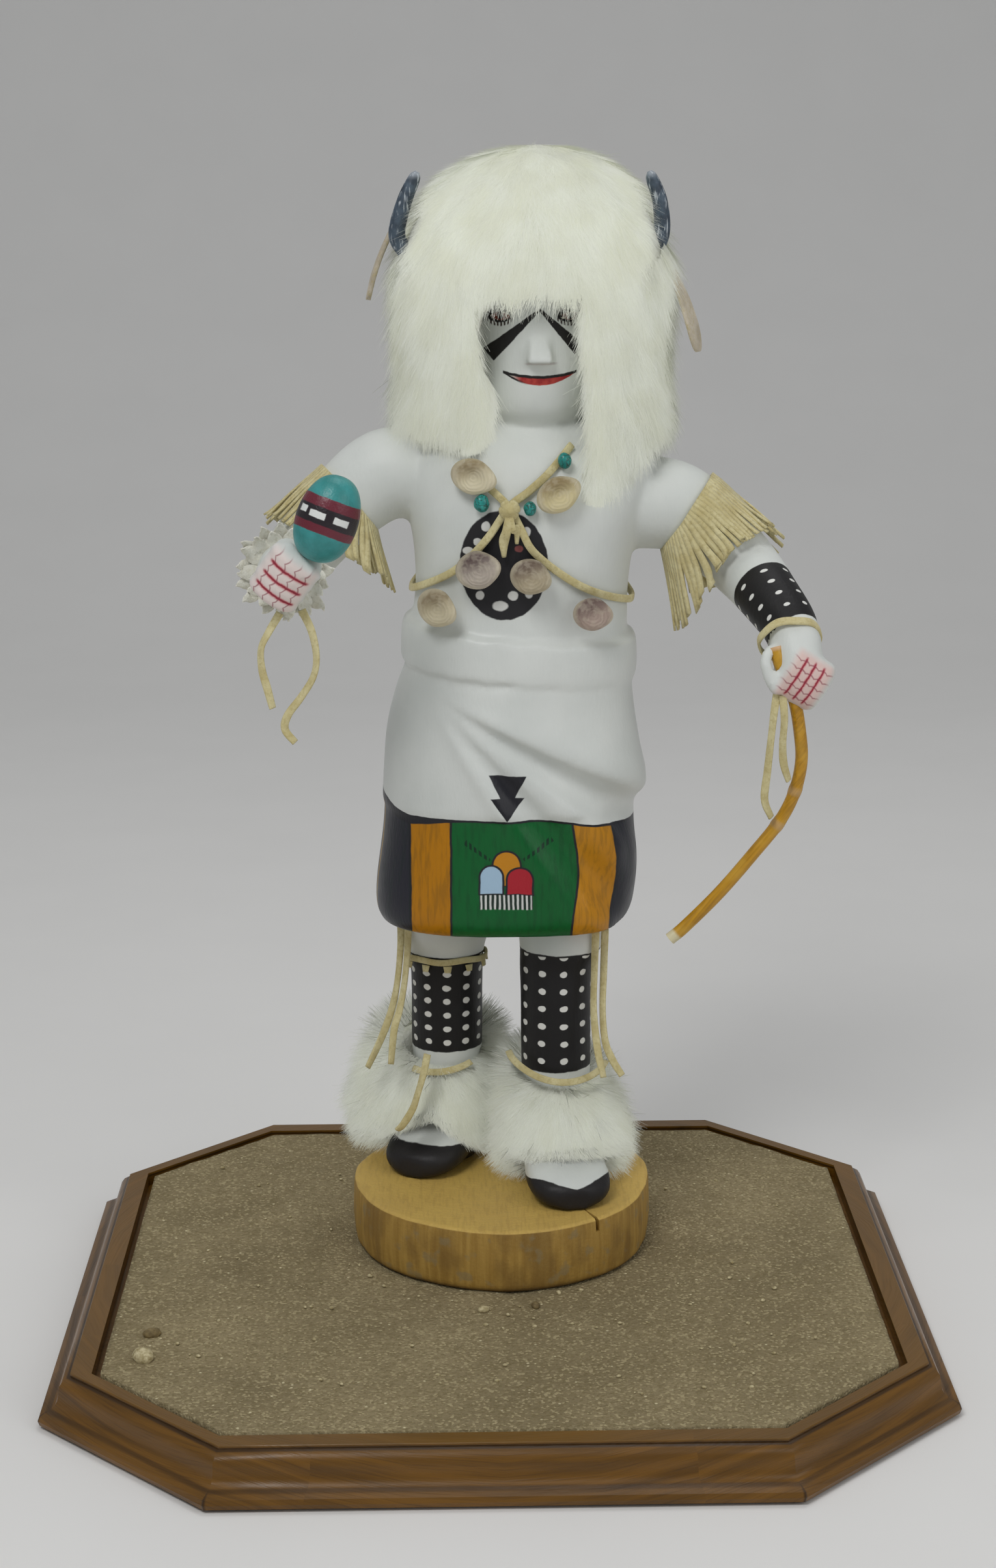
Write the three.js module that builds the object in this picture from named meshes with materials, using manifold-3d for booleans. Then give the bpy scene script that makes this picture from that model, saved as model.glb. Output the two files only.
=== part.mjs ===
// A carved and painted kachina doll standing on a log slice, on an octagonal moulded plinth with a sand bed.
// Millimetres, +Z up, the doll faces -Y, origin at the centre of the plinth's underside.
// "right" and "left" are the doll's own sides: its right hand is at -X.
import * as THREE from 'three';
import { mergeVertices } from 'three/addons/utils/BufferGeometryUtils.js';
import Module from 'manifold-3d';

const wasm = await Module();
wasm.setup();

// Clearance between pieces that touch
const GAP = 0.35;

// Plinth: half widths and corner cuts of the octagon, heights of its moulding
const PLINTH_HALF = 167.5;
const PLINTH_CUT = 65;
const PLINTH_TOP = 19.3;
const RECESS_HALF = 148;
const RECESS_CUT = 50;
const RECESS_FLOOR = 13.6;
const SAND_HALF = 145;
const SAND_CUT = 48.6;
const SAND_TOP = 19;

// Log slice
const LOG_X = 3.6;
const LOG_Y = 30;
const LOG_RADIUS = 60.4;
const LOG_BOTTOM = SAND_TOP + GAP;
const LOG_TOP = 44;
const CRACK_LENGTH = 17;
const CRACK_WIDTH = 2.4;
const CRACK_DEPTH = 5;

// Trunk from the hem of the kilt to the neck: height, centre x, centre y, half width, half depth, squareness
const TRUNK = [
  [152, 5.0, 39, 48.6, 38.0, 2.5],
  [157, 5.0, 39, 50.8, 40.8, 2.5],
  [166, 5.3, 39, 51.2, 41.2, 2.5],
  [190, 6.8, 39, 49.6, 40.6, 2.45],
  [212, 7.4, 39, 48.9, 39.4, 2.4],
  [230, 7.6, 39, 47.4, 38.0, 2.3],
  [245, 8.8, 39, 44.7, 36.6, 2.3],
  [256, 10.6, 39, 42.6, 35.6, 2.3],
  [270, 11.2, 39, 41.9, 35.0, 2.3],
  [285, 12.2, 39, 41.2, 35.2, 2.3],
  [300, 13.0, 39, 42.5, 35.8, 2.3],
  [316, 14.2, 39, 46.0, 35.0, 2.3],
  [331, 15.4, 39.5, 48.0, 31.0, 2.2],
  [342, 16.0, 40, 43.0, 26.0, 2.1],
  [348, 16.3, 40, 32.0, 22.0, 2.0],
  [353, 16.5, 40, 20.0, 18.0, 2.0],
];
const SASH_RELIEF = 1.7;
const SASH_TILT = 0.085;
const SASH_LOW = 253;
const SASH_HIGH = 269.5;
const DRAPE_RELIEF = 0.9;
const DRAPE_LOW = 200;
// The carved folds fan out from the right hip: degrees below the horizontal, and height of the carving
const FOLD_X = -26;
const FOLD_Z = 249;
const FOLDS = [
  [0, 0.8], [14, 1.2], [24, 1.9], [33, -0.7], [42, 0.8], [50, -0.3], [58, 0.7], [68, 0], [90, 0], [180, 0],
];

// Head, from the throat to the crown
const HEAD = [
  [344, 16.6, 42, 17, 17, 2.0],
  [350, 16.7, 39.5, 21, 24.5, 2.2],
  [356, 16.8, 38.8, 24, 27.5, 2.3],
  [370, 16.9, 38.5, 26, 28.5, 2.4],
  [390, 17.0, 39, 27, 28.5, 2.4],
  [410, 17.2, 40, 27, 28, 2.3],
  [425, 17.3, 41, 22, 23, 2.1],
  [434, 17.3, 41, 10, 11, 2.0],
];
const NOSE_X = 18.4;
const NOSE_TOP = 392;
const NOSE_BOTTOM = 371.5;
const NOSE_WIDTH = 13;
const NOSE_REACH = 6.6;

// Fur wig outside the head, and the face opening in it
const WIG = [
  [333, 16.5, 44, 49, 36, 2.2],
  [345, 16.5, 43, 54, 44, 2.3],
  [372, 16.5, 42, 53.6, 47, 2.3],
  [400, 16.7, 42, 54.4, 48, 2.3],
  [416, 16.9, 42, 52.4, 46.5, 2.2],
  [433, 17.8, 42, 42.5, 38.5, 2.1],
  [445, 18.4, 42, 26.5, 24.5, 2.0],
  [450.4, 18.8, 42, 9, 9, 2.0],
];
const FACE_LEFT = -2.6;
const FACE_RIGHT = 34.8;
const FACE_TOP = 394;
const LOCK_DROP = 14;

// Limbs: height or path point, then radius
const LEG_RIGHT = [
  [44.4, -18.6, 53.5, 11.5], [70, -18.6, 53.5, 12.6], [93, -18.6, 53, 14.3], [121, -18.4, 52, 14.5],
  [134, -18.6, 51, 15.4], [142, -19.2, 50, 18.0], [158, -19.2, 48, 19.0],
];
const LEG_LEFT = [
  [44.4, 24.9, 25, 11.5], [70, 24.9, 25, 12.4], [93, 24.9, 26, 13.8], [121, 24.9, 27, 14.0],
  [133, 25.2, 28, 14.6], [142, 27.0, 29, 16.4], [158, 26.4, 32, 17.6],
];
const FOOT_BOTTOM = LOG_TOP + GAP;
const FOOT_BACK = 15;
const FOOT_FRONT_RIGHT = 32;
const FOOT_FRONT_LEFT = 37;
// Along the foot from heel to toe: place, half width, height
const FOOT = [
  [0, 7, 13], [0.12, 11, 21], [0.35, 13.6, 24], [0.6, 16.2, 18],
  [0.82, 15.6, 13], [0.95, 11.5, 10.4], [1, 6, 8.5],
];
const ANKLE_RIGHT = [-18.6, 53.5];
const ANKLE_LEFT = [24.9, 25];
const FOOT_TURN_RIGHT = -29;
const FOOT_TURN_LEFT = 11;

const ARM_RIGHT = [
  [-24, 40, 326, 17], [-40, 40, 327, 17.5], [-58, 37, 314, 15.2], [-74, 33, 297, 13.6],
  [-79, 14, 295, 12.4], [-76.5, -12, 298, 10.8], [-75, -28, 300, 10],
];
const ARM_LEFT = [
  [54, 40, 316, 18], [72, 40, 314.5, 18.8], [87.5, 37, 303, 15.6], [99, 31, 290.5, 13.2],
  [105, 14, 283.5, 11.8], [111.5, 0, 274.5, 10.6], [113.5, -9, 267, 9.6], [114, -13, 261, 9],
];
const FIST_RIGHT = [-74.8, -37, 300.2];
const FIST_LEFT = [114, -15.5, 257.5];
const FACING_RIGHT = [0.06, -1, 0.1];
const FACING_LEFT = [0.15, -1, -0.25];
const SPREAD_RIGHT = 11;
const SPREAD_LEFT = 12.6;
const FINGER = 3.1;
const FINGER_PITCH = 5.5;

// Horns and ear tabs
const HORN_RIGHT = [
  [-31, 35, 411, 3.2], [-34.4, 35, 418, 3.2], [-31.4, 35, 430, 2.9],
  [-27.6, 35, 438.4, 2.3], [-26.4, 35, 440.8, 0.9],
];
const HORN_LEFT = [
  [60, 35, 409, 3.2], [65, 35, 417, 3.2], [64.6, 35, 429, 2.9],
  [61.4, 35, 438, 2.3], [60.4, 35, 440.6, 0.9],
];
const EAR_LENGTH = 26;
const EAR_WIDTH = 14;
const EAR_THICK = 2.4;

// Things held in the hands
const RATTLE = [-59, -45, 321.8];
const RATTLE_HALF = [11.9, 11.9, 15.9];
const HANDLE_RADIUS = 2.8;
const HANDLE_BACK = 36;
const BOW_PATH = [
  [113.2, -15.5, 263], [113.6, -15.5, 246], [115.7, -14, 225], [113.6, -13, 213], [108.5, -12, 201.5],
  [98.4, -12, 188.4], [85.7, -12, 173.2], [72.7, -12, 159.9], [67, -12, 155],
];
const BOW_RADIUS = 2.4;
const THONG_RADIUS = 1.3;

// Fur cuffs round the ankles: height, centre x, centre y, half width, half depth, squareness
const ANKLET_RIGHT = [
  [54, -26, 53, 20, 20, 2], [60, -27, 54, 30, 28, 2], [74, -25.5, 55.5, 34.5, 31.5, 2],
  [86, -24, 57, 32, 30, 2], [94, -21, 56, 22, 21, 2],
];
const ANKLET_LEFT = [
  [51, 26, 24, 16, 16, 2], [57, 27, 23.5, 25, 25, 2], [71, 27, 24.5, 28, 28, 2],
  [83, 26, 25.5, 25.5, 26, 2], [90, 25, 26, 17.5, 18, 2],
];
// Rise of the upper edge towards the back and towards +X
const ANKLET_LEAN_RIGHT = [0.44, 0];
const ANKLET_LEAN_LEFT = [0.24, -0.1];

// Leather bands: centre and axis
const RUFF_CENTRE = [-76.2, -15, 298.4];
const RUFF_AXIS = [0.09, -1, 0.12];
const WRIST_CENTRE = [112.4, -5, 270.6];
const WRIST_AXIS = [0.25, -0.76, -0.62];
const GARTER_CENTRE = [-18.7, 51.2, 131];

// Bandoliers lie on the trunk: the front by x and height, the back by angle and height, then any extra lift
const BANDOLIER_RADIUS = 1.5;
const UNDER_FRONT = [[30.5, 341], [22, 331.5], [14, 324.5], [6.7, 319], [-1, 308], [-9, 299], [-17, 292.5]];
const UNDER_BACK = [[-72, 285.5], [-100, 284], [-130, 290], [-165, 304], [-195, 319], [-207, 327]];
const OVER_FRONT = [
  [-12, 333], [-5, 329], [1, 324.5, 2], [6.7, 319, 4.6], [11, 311, 2], [16, 302], [29, 291.5], [41, 285],
];
const OVER_BACK = [
  [75, 280], [100, 281], [130, 288], [165, 302, 2.6], [180, 310.5, 3.8], [195, 318, 2.6], [207, 327],
];

// Shells on the bandoliers: x, height, length, width, turn in degrees, and the way off the chest
const SHELLS = [
  [-6.4, 330.2, 18.5, 13.5, 12, 1.6], [25.2, 324, 18, 13.5, -25, 1.6], [-5, 296, 18, 14.5, -12, 1.2],
  [14.6, 293.4, 16, 13.5, 20, 1.2], [-20.5, 280.8, 17.5, 14.5, 20, 3.4], [38, 278.6, 17, 12.5, 10, 3.4],
];
const BEADS = [[-3.6, 320.4, 2.9], [14.4, 318.6, 2.4], [27.6, 335.6, 2.6]];

// Laces, from where they are held to their free ends
const THONGS = {
  rattle_thong_1: [[-78.3, -33, 284.5], [-85, -35, 271.7], [-83.5, -36, 260], [-80.3, -36, 251.7]],
  rattle_thong_2: [
    [-69.6, -33, 285.5], [-64.5, -35, 271.6], [-70, -37, 259],
    [-75.5, -37, 249], [-77.4, -37, 244], [-72.5, -37, 238],
  ],
  bow_thong_1: [
    [106.2, -19, 243.6], [105.6, -19, 233.2], [103, -18.5, 216.2], [101.9, -18, 210], [104.4, -16.5, 203.6],
  ],
  bow_thong_2: [[108.6, -20.5, 243.8], [108.2, -20, 236], [107.6, -19.2, 228], [110, -17.6, 219]],
  leg_thong_1: [
    [-36.6, 40, 150.2], [-36.8, 39.5, 138], [-38.2, 38, 124],
    [-40.5, 36, 113], [-44.6, 32, 102.4], [-50.4, 25.5, 91.5],
  ],
  leg_thong_2: [
    [-33.6, 36, 150.2], [-34, 35.5, 138], [-35.4, 34, 124],
    [-37.4, 31, 114], [-39.6, 26, 107], [-41, 22, 94],
  ],
  leg_thong_3: [[40.2, 16, 150.2], [39.6, 14.5, 134], [39.2, 11, 119], [40.4, 5, 105.4], [42.6, 0.5, 95]],
  leg_thong_4: [
    [44, 18.5, 150.2], [43.4, 16.5, 134], [42.8, 12, 118.4],
    [43.6, 7, 107.6], [46.4, 4, 100.8], [50, 2, 95.2],
  ],
  ankle_thong_1: [
    [-26.5, 27.6, 96], [-28, 22.4, 90], [-30.5, 20, 82],
    [-32.6, 19, 76], [-36.4, 19, 69.7], [-38.8, 19.4, 67.2],
  ],
};
const THONG_STEPS = 5;

// Geometry helpers

const vec = (p) => new THREE.Vector3(p[0], p[1], p[2]);

function toSolid(geometry, mirrored = false) {
  for (const name of Object.keys(geometry.attributes)) {
    if (name !== 'position') geometry.deleteAttribute(name);
  }
  const merged = mergeVertices(geometry, 1e-4);
  if (mirrored) merged.index.array.reverse();
  return new wasm.Manifold(new wasm.Mesh({
    numProp: 3,
    vertProperties: new Float32Array(merged.attributes.position.array),
    triVerts: new Uint32Array(merged.index.array),
  }));
}

function toGeometry(solid) {
  const mesh = solid.getMesh();
  const geometry = new THREE.BufferGeometry();
  geometry.setAttribute('position', new THREE.BufferAttribute(new Float32Array(mesh.vertProperties), 3));
  geometry.setIndex(new THREE.BufferAttribute(new Uint32Array(mesh.triVerts), 1));
  geometry.computeVertexNormals();
  return geometry;
}

// Smooth curve through rows of keys; the first value of a row is the place, the others are carried along
function follow(rows, place) {
  const last = rows.length - 1;
  const at = Math.min(Math.max(place, rows[0][0]), rows[last][0]);
  let i = 0;
  while (i < last - 1 && at > rows[i + 1][0]) i += 1;
  const [from, to] = [rows[i], rows[i + 1]];
  const [before, after] = [rows[Math.max(i - 1, 0)], rows[Math.min(i + 2, last)]];
  const span = to[0] - from[0];
  const t = (at - from[0]) / span;
  return from.slice(1).map((value, k) => {
    const slopeIn = (to[k + 1] - before[k + 1]) / (to[0] - before[0]) * span;
    const slopeOut = (after[k + 1] - value) / (after[0] - from[0]) * span;
    const t2 = t * t;
    const t3 = t2 * t;
    return value * (2 * t3 - 3 * t2 + 1) + slopeIn * (t3 - 2 * t2 + t)
      + to[k + 1] * (3 * t2 - 2 * t3) + slopeOut * (t3 - t2);
  });
}

const bend = (value, power) => Math.sign(value) * Math.abs(value) ** power;
const clamp01 = (value) => Math.min(Math.max(value, 0), 1);
const smooth = (from, to, value) => {
  const t = clamp01((value - from) / (to - from));
  return t * t * (3 - 2 * t);
};

// Closed barrel: a function of the angle from the front and the way along puts every ring in place;
// a mirrored one has the diagonals of its cells the other way
function barrel(sides, steps, place, mirrored = false) {
  const geometry = new THREE.CylinderGeometry(1, 1, 1, sides, steps);
  const position = geometry.attributes.position;
  const rowMiddle = (row) => {
    const middle = new THREE.Vector3();
    for (let k = 0; k < sides; k += 1) middle.add(place(k / sides * 2 * Math.PI, row / steps));
    return middle.divideScalar(sides);
  };
  for (let v = 0; v < position.count; v += 1) {
    const [x, y, z] = [position.getX(v), position.getY(v), position.getZ(v)];
    const row = Math.round((y + 0.5) * steps);
    const turned = Math.round(Math.atan2(mirrored ? -x : x, z) / (2 * Math.PI) * sides);
    const k = (turned + sides) % sides;
    const point = Math.hypot(x, z) < 0.5 ? rowMiddle(row) : place(k / sides * 2 * Math.PI, row / steps);
    position.setXYZ(v, point.x, point.y, point.z);
  }
  return toSolid(geometry, mirrored);
}

// Closed ring with a few corners round its section, put in place by a function of the turn and the corner
function hoop(turns, corners, place) {
  const geometry = new THREE.TorusGeometry(1, 0.4, corners, turns);
  const position = geometry.attributes.position;
  for (let v = 0; v < position.count; v += 1) {
    const [x, y, z] = [position.getX(v), position.getY(v), position.getZ(v)];
    const i = (Math.round(Math.atan2(y, x) / (2 * Math.PI) * turns) + turns) % turns;
    const j = (Math.round(Math.atan2(z, Math.hypot(x, y) - 1) / (2 * Math.PI) * corners) + corners) % corners;
    const point = place(i, j);
    position.setXYZ(v, point.x, point.y, point.z);
  }
  return toSolid(geometry);
}

// Point on an upright column of rounded sections, at an angle from the front, lifted off the surface
function onColumn(rows, angle, height, lift = 0) {
  const [cx, cy, a, b, squareness] = follow(rows, height);
  const x = cx + (a + lift) * bend(Math.sin(angle), 2 / squareness);
  const y = cy - (b + lift) * bend(Math.cos(angle), 2 / squareness);
  return new THREE.Vector3(x, y, height);
}

// Angle from the front of the column's point that has this x, on the front side
function frontAngle(rows, x, height, lift = 0) {
  const [cx, , a, , squareness] = follow(rows, height);
  const share = Math.min(Math.max((x - cx) / (a + lift), -1), 1);
  return Math.asin(bend(share, squareness / 2));
}

function column(rows, sides, steps, grow = 0) {
  const [low, high] = [rows[0][0], rows[rows.length - 1][0]];
  return barrel(sides, steps, (angle, along) => {
    const point = onColumn(rows, angle, low + (high - low) * along, grow);
    point.z += (along * 2 - 1) * grow;
    return point;
  });
}

// Rounded limb along a curve, with a radius at each path point
function limb(rows, sides, steps, front, grow = 0) {
  const curve = new THREE.CatmullRomCurve3(rows.map(vec));
  const radii = rows.map((row, i) => [i / (rows.length - 1), row[3]]);
  return barrel(sides, steps, (angle, along) => {
    const centre = curve.getPoint(along);
    const axis = curve.getTangent(along);
    const facing = front.clone().addScaledVector(axis, -front.dot(axis)).normalize();
    const side = axis.clone().cross(facing);
    const radius = follow(radii, along)[0] + grow;
    return centre.addScaledVector(side, radius * Math.sin(angle))
      .addScaledVector(facing, radius * Math.cos(angle))
      .addScaledVector(axis, (along * 2 - 1) * grow);
  });
}

// Plain tube of a many-sided section along a curve through points
function tube(points, radius, sides, steps) {
  const outline = new THREE.Shape();
  for (let k = 0; k < sides; k += 1) {
    const angle = k / sides * 2 * Math.PI;
    const spot = [radius * Math.cos(angle), radius * Math.sin(angle)];
    if (k === 0) outline.moveTo(...spot);
    else outline.lineTo(...spot);
  }
  outline.closePath();
  const curve = new THREE.CatmullRomCurve3(points);
  return toSolid(new THREE.ExtrudeGeometry(outline, { steps, bevelEnabled: false, extrudePath: curve }));
}

function ellipsoid(half, wide, high) {
  const geometry = new THREE.SphereGeometry(1, wide, high);
  geometry.rotateX(Math.PI / 2);
  geometry.scale(...half);
  return geometry;
}

// Octagonal board whose rows are pairs of half width and height
function octagon(rows, cutOf) {
  const last = rows.length - 1;
  return barrel(8, last, (angle, along) => {
    const [half, height] = rows[Math.round(along * last)];
    const near = half - cutOf(half);
    const corners = [
      [-near, -half], [near, -half], [half, -near], [half, near],
      [near, half], [-near, half], [-half, near], [-half, -near],
    ];
    return vec([...corners[Math.round(angle / (2 * Math.PI) * 8)], height]);
  });
}

// Materials

const paint = (color, roughness) => new THREE.MeshStandardMaterial({ color, roughness, metalness: 0 });
const colours = {
  walnut: paint(0x5a3e1c, 0.4),
  sand: paint(0x9a8c6c, 0.95),
  log: paint(0xa98a52, 0.7),
  doll: paint(0xe4e6e2, 0.5),
  fur: paint(0xe8e4d4, 0.9),
  horn: paint(0x4a5660, 0.5),
  leather: paint(0xd8cfa4, 0.8),
  teal: paint(0x3f8f90, 0.45),
  amber: paint(0xb8842a, 0.4),
  shell: paint(0xb7a79c, 0.35),
  turquoise: paint(0x4fa7a2, 0.35),
};

const doll = new THREE.Group();
const base = new THREE.Group();
const trim = new THREE.Group();

function addPiece(group, name, solid, material) {
  const mesh = new THREE.Mesh(toGeometry(solid), material.clone());
  mesh.name = name;
  group.add(mesh);
}

// Plinth, sand and log slice

function makePlinth() {
  const moulding = [
    [164.6, 0], [166.9, 1.2], [PLINTH_HALF, 3], [166.9, 4.8], [164.6, 6], [163.2, 6.3], [161.2, 8.2],
    [160.2, 10.6], [160, 13], [159.6, 15], [158.4, 16.8], [156.6, 17.9], [155.8, 18.1], [155.8, PLINTH_TOP],
  ];
  const board = octagon(moulding, (half) => PLINTH_CUT - (PLINTH_HALF - half) * 0.586);
  const recess = octagon([[RECESS_HALF, RECESS_FLOOR], [RECESS_HALF, PLINTH_TOP + 5]], () => RECESS_CUT);
  return board.subtract(recess);
}

function makeSand() {
  const top = [[SAND_HALF, RECESS_FLOOR + GAP], [SAND_HALF, SAND_TOP - 0.6], [SAND_HALF - 1.2, SAND_TOP]];
  return octagon(top, () => SAND_CUT);
}

function makeLog() {
  const outline = (angle) => LOG_RADIUS * (1 + 0.016 * Math.cos(2 * angle + 0.4)
    + 0.012 * Math.cos(3 * angle - 1.1) + 0.006 * Math.cos(7 * angle));
  const rings = [
    [LOG_BOTTOM, -1.2], [LOG_BOTTOM + 2, 0], [LOG_TOP - 10, 0.4], [LOG_TOP - 1, 0], [LOG_TOP, -0.9],
  ];
  const slice = barrel(28, rings.length - 1, (angle, along) => {
    const [height, swell] = rings[Math.round(along * (rings.length - 1))];
    const radius = outline(angle) + swell;
    return new THREE.Vector3(LOG_X + radius * Math.sin(angle), LOG_Y - radius * Math.cos(angle), height);
  });
  const wedge = new THREE.Shape();
  wedge.moveTo(-CRACK_WIDTH / 2, -CRACK_LENGTH);
  wedge.lineTo(CRACK_WIDTH / 2, -CRACK_LENGTH);
  wedge.lineTo(0, CRACK_LENGTH * 0.6);
  const crack = new THREE.ExtrudeGeometry(wedge, { depth: CRACK_DEPTH + 5, bevelEnabled: false });
  crack.rotateZ(0.42);
  crack.translate(39.5, -19.5, LOG_TOP - CRACK_DEPTH);
  return slice.subtract(toSolid(crack));
}

// The doll, carved as one

// Height of the carved folds of the kilt at a point of its front
function foldRelief(point) {
  const [, cy] = follow(TRUNK, point.z);
  const front = smooth(cy + 12, cy - 16, point.y);
  const angle = Math.atan2(FOLD_Z - point.z, point.x - FOLD_X) * 180 / Math.PI;
  const away = Math.hypot(point.x - FOLD_X, point.z - FOLD_Z);
  return angle < 0 ? 0 : front * smooth(4, 40, away) * follow(FOLDS, angle)[0];
}

// Height of a tilted edge of the sash round the trunk
function sashEdge(level, angle) {
  const guide = onColumn(TRUNK, angle, level);
  return level - SASH_TILT * (guide.x - 10) - 0.05 * Math.max(39 - guide.y, 0);
}

// The trunk is one barrel: hem band, draped kilt with its folds, raised sash, chest and shoulders
function makeTrunk() {
  const flat = (height) => () => [height, 0];
  const hem = (height) => (angle) => [height, 0.7 * foldRelief(onColumn(TRUNK, angle, height))];
  const drape = (height) => (angle) => [height, DRAPE_RELIEF + foldRelief(onColumn(TRUNK, angle, height))];
  const sash = (level, lift) => (angle) => [sashEdge(level, angle), lift];
  const rows = [
    ...[152, 154, 158, 166, 178, 190].map(hem), hem(DRAPE_LOW - 0.8),
    ...[DRAPE_LOW, 206, 213, 220, 228, 237, 243].map(drape),
    sash(SASH_LOW - 0.3, DRAPE_RELIEF), sash(SASH_LOW + 0.3, SASH_RELIEF),
    sash((SASH_LOW + SASH_HIGH) / 2, SASH_RELIEF + 0.5),
    sash(SASH_HIGH - 0.3, SASH_RELIEF), sash(SASH_HIGH + 0.3, 0),
    ...[285, 300, 316, 326, 335, 342, 348, 353].map(flat),
  ];
  return barrel(32, rows.length - 1, (turn, along) => {
    const angle = turn - 0.3 * Math.sin(turn);
    const [height, lift] = rows[Math.round(along * (rows.length - 1))](angle);
    return onColumn(TRUNK, angle, height, lift);
  }, true);
}

// Space taken by the chest, the shoulders and the arms, a little larger than they are
function bodySpace(sides, steps, grow) {
  const chest = column(TRUNK.filter((row) => row[0] > 268), sides * 2, steps, grow);
  return chest.add(limb(ARM_RIGHT, sides, steps, forward, grow))
    .add(limb(ARM_LEFT, sides, steps, forward, grow));
}

function makeNose() {
  const profile = new THREE.Shape();
  profile.moveTo(8, NOSE_TOP);
  profile.lineTo(-NOSE_REACH, NOSE_BOTTOM + 1.6);
  profile.lineTo(-NOSE_REACH + 0.8, NOSE_BOTTOM);
  profile.lineTo(8, NOSE_BOTTOM);
  const geometry = new THREE.ExtrudeGeometry(profile, { depth: 1, bevelEnabled: false });
  const position = geometry.attributes.position;
  const face = onColumn(HEAD, 0, (NOSE_TOP + NOSE_BOTTOM) / 2).y;
  for (let v = 0; v < position.count; v += 1) {
    const [reach, height, across] = [position.getX(v), position.getY(v), position.getZ(v)];
    const low = (NOSE_TOP - height) / (NOSE_TOP - NOSE_BOTTOM);
    const ridge = reach < 0 ? 0.72 : 1;
    const width = NOSE_WIDTH * (0.3 + 0.7 * low) * ridge;
    position.setXYZ(v, NOSE_X + (across - 0.5) * width, face + reach, height);
  }
  return toSolid(geometry);
}

function makeLeg(rows, grow) {
  const upright = rows.map(([height, x, y, radius]) => [height, x, y, radius, radius, 2]);
  return column(upright, 10, 4, grow);
}

function makeFoot(ankle, turn, front, grow) {
  const heading = THREE.MathUtils.degToRad(turn);
  const ahead = new THREE.Vector3(Math.sin(heading), -Math.cos(heading), 0);
  const across = new THREE.Vector3(Math.cos(heading), Math.sin(heading), 0);
  return barrel(10, 6, (angle, along) => {
    const [width, tall] = follow(FOOT, along);
    const sway = bend(Math.sin(angle), 0.75) * (width + grow);
    const rise = (bend(-Math.cos(angle), 0.75) * 0.5 + 0.5) * (tall + 2 * grow) - grow;
    const reach = -FOOT_BACK + (FOOT_BACK + front) * along + (along * 2 - 1) * grow;
    return new THREE.Vector3(ankle[0], ankle[1], FOOT_BOTTOM + rise)
      .addScaledVector(ahead, reach).addScaledVector(across, sway);
  });
}

// Closed hand round a stick: four fingers side by side along the stick, a palm and a thumb
function makeFist(centre, stick, facing, spread, grow = 0) {
  const up = stick.clone().normalize();
  const ahead = facing.clone().addScaledVector(up, -facing.dot(up)).normalize();
  const across = up.clone().cross(ahead);
  const rows = [[-12, 0.7], [-9.5, 0.95], [9.5, 0.95], [12, 0.7]];
  let hand = barrel(10, rows.length - 1, (angle, along) => {
    const [level, share] = rows[Math.round(along * (rows.length - 1))];
    return centre.clone().addScaledVector(up, level)
      .addScaledVector(across, (spread + grow) * share * bend(Math.sin(angle), 0.8))
      .addScaledVector(ahead, (8.2 + grow) * share * bend(Math.cos(angle), 0.8) - 1.2);
  });
  for (let k = 0; k < 4; k += 1) {
    const level = (k - 1.5) * FINGER_PITCH;
    const size = FINGER * (k === 0 ? 0.88 : 1) + grow;
    const points = [];
    for (let s = 0; s <= 4; s += 1) {
      const swing = Math.PI * (0.06 + 0.88 * s / 4);
      points.push(centre.clone().addScaledVector(up, level)
        .addScaledVector(across, (spread - 1.6) * Math.cos(swing))
        .addScaledVector(ahead, 6.4 * Math.sin(swing)));
    }
    hand = hand.add(tube(points, size, 5, 3));
  }
  const thumb = [[-0.6, 1, 0.95], [0.1, 5.5, 1.0], [0.7, 6, 0.8]].map(([s, a, u]) => centre.clone()
    .addScaledVector(across, s * spread).addScaledVector(ahead, a).addScaledVector(up, u * 2 * FINGER_PITCH));
  return hand.add(tube(thumb, FINGER * 0.95 + grow, 5, 2));
}

const forward = new THREE.Vector3(0, -1, 0);
const upright = new THREE.Vector3(0, 0, 1);
const rattleAxis = vec(RATTLE).sub(vec(FIST_RIGHT)).normalize();
const bowAxis = new THREE.Vector3(0.03, 0, 1).normalize();
const gourdAxis = new THREE.Vector3(0.35, 0, 0.94).normalize();

function handle(radius, extra) {
  const stick = new THREE.CylinderGeometry(radius, radius, HANDLE_BACK + extra, 10);
  stick.translate(0, -(HANDLE_BACK + extra) / 2 + extra / 2, 0);
  stick.applyQuaternion(new THREE.Quaternion().setFromUnitVectors(new THREE.Vector3(0, 1, 0), rattleAxis));
  stick.translate(...RATTLE);
  return toSolid(stick);
}

const bow = (grow) => tube(BOW_PATH.map(vec), BOW_RADIUS + grow, 7, 14);

const rightHand = (grow) => makeFist(vec(FIST_RIGHT), rattleAxis, vec(FACING_RIGHT), SPREAD_RIGHT, grow);
const leftHand = (grow) => makeFist(vec(FIST_LEFT), bowAxis, vec(FACING_LEFT), SPREAD_LEFT, grow);

function makeLegs(grow) {
  return makeLeg(LEG_RIGHT, grow).add(makeLeg(LEG_LEFT, grow))
    .add(makeFoot(ANKLE_RIGHT, FOOT_TURN_RIGHT, FOOT_FRONT_RIGHT, grow))
    .add(makeFoot(ANKLE_LEFT, FOOT_TURN_LEFT, FOOT_FRONT_LEFT, grow));
}

function makeFigure() {
  return makeTrunk().add(column(HEAD, 16, 7)).add(makeNose())
    .add(limb(ARM_RIGHT, 10, 8, forward)).add(limb(ARM_LEFT, 10, 8, forward))
    .add(makeLegs(0)).add(rightHand(0)).add(leftHand(0))
    .subtract(handle(HANDLE_RADIUS + GAP, 2)).subtract(bow(GAP));
}

// Fur

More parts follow.
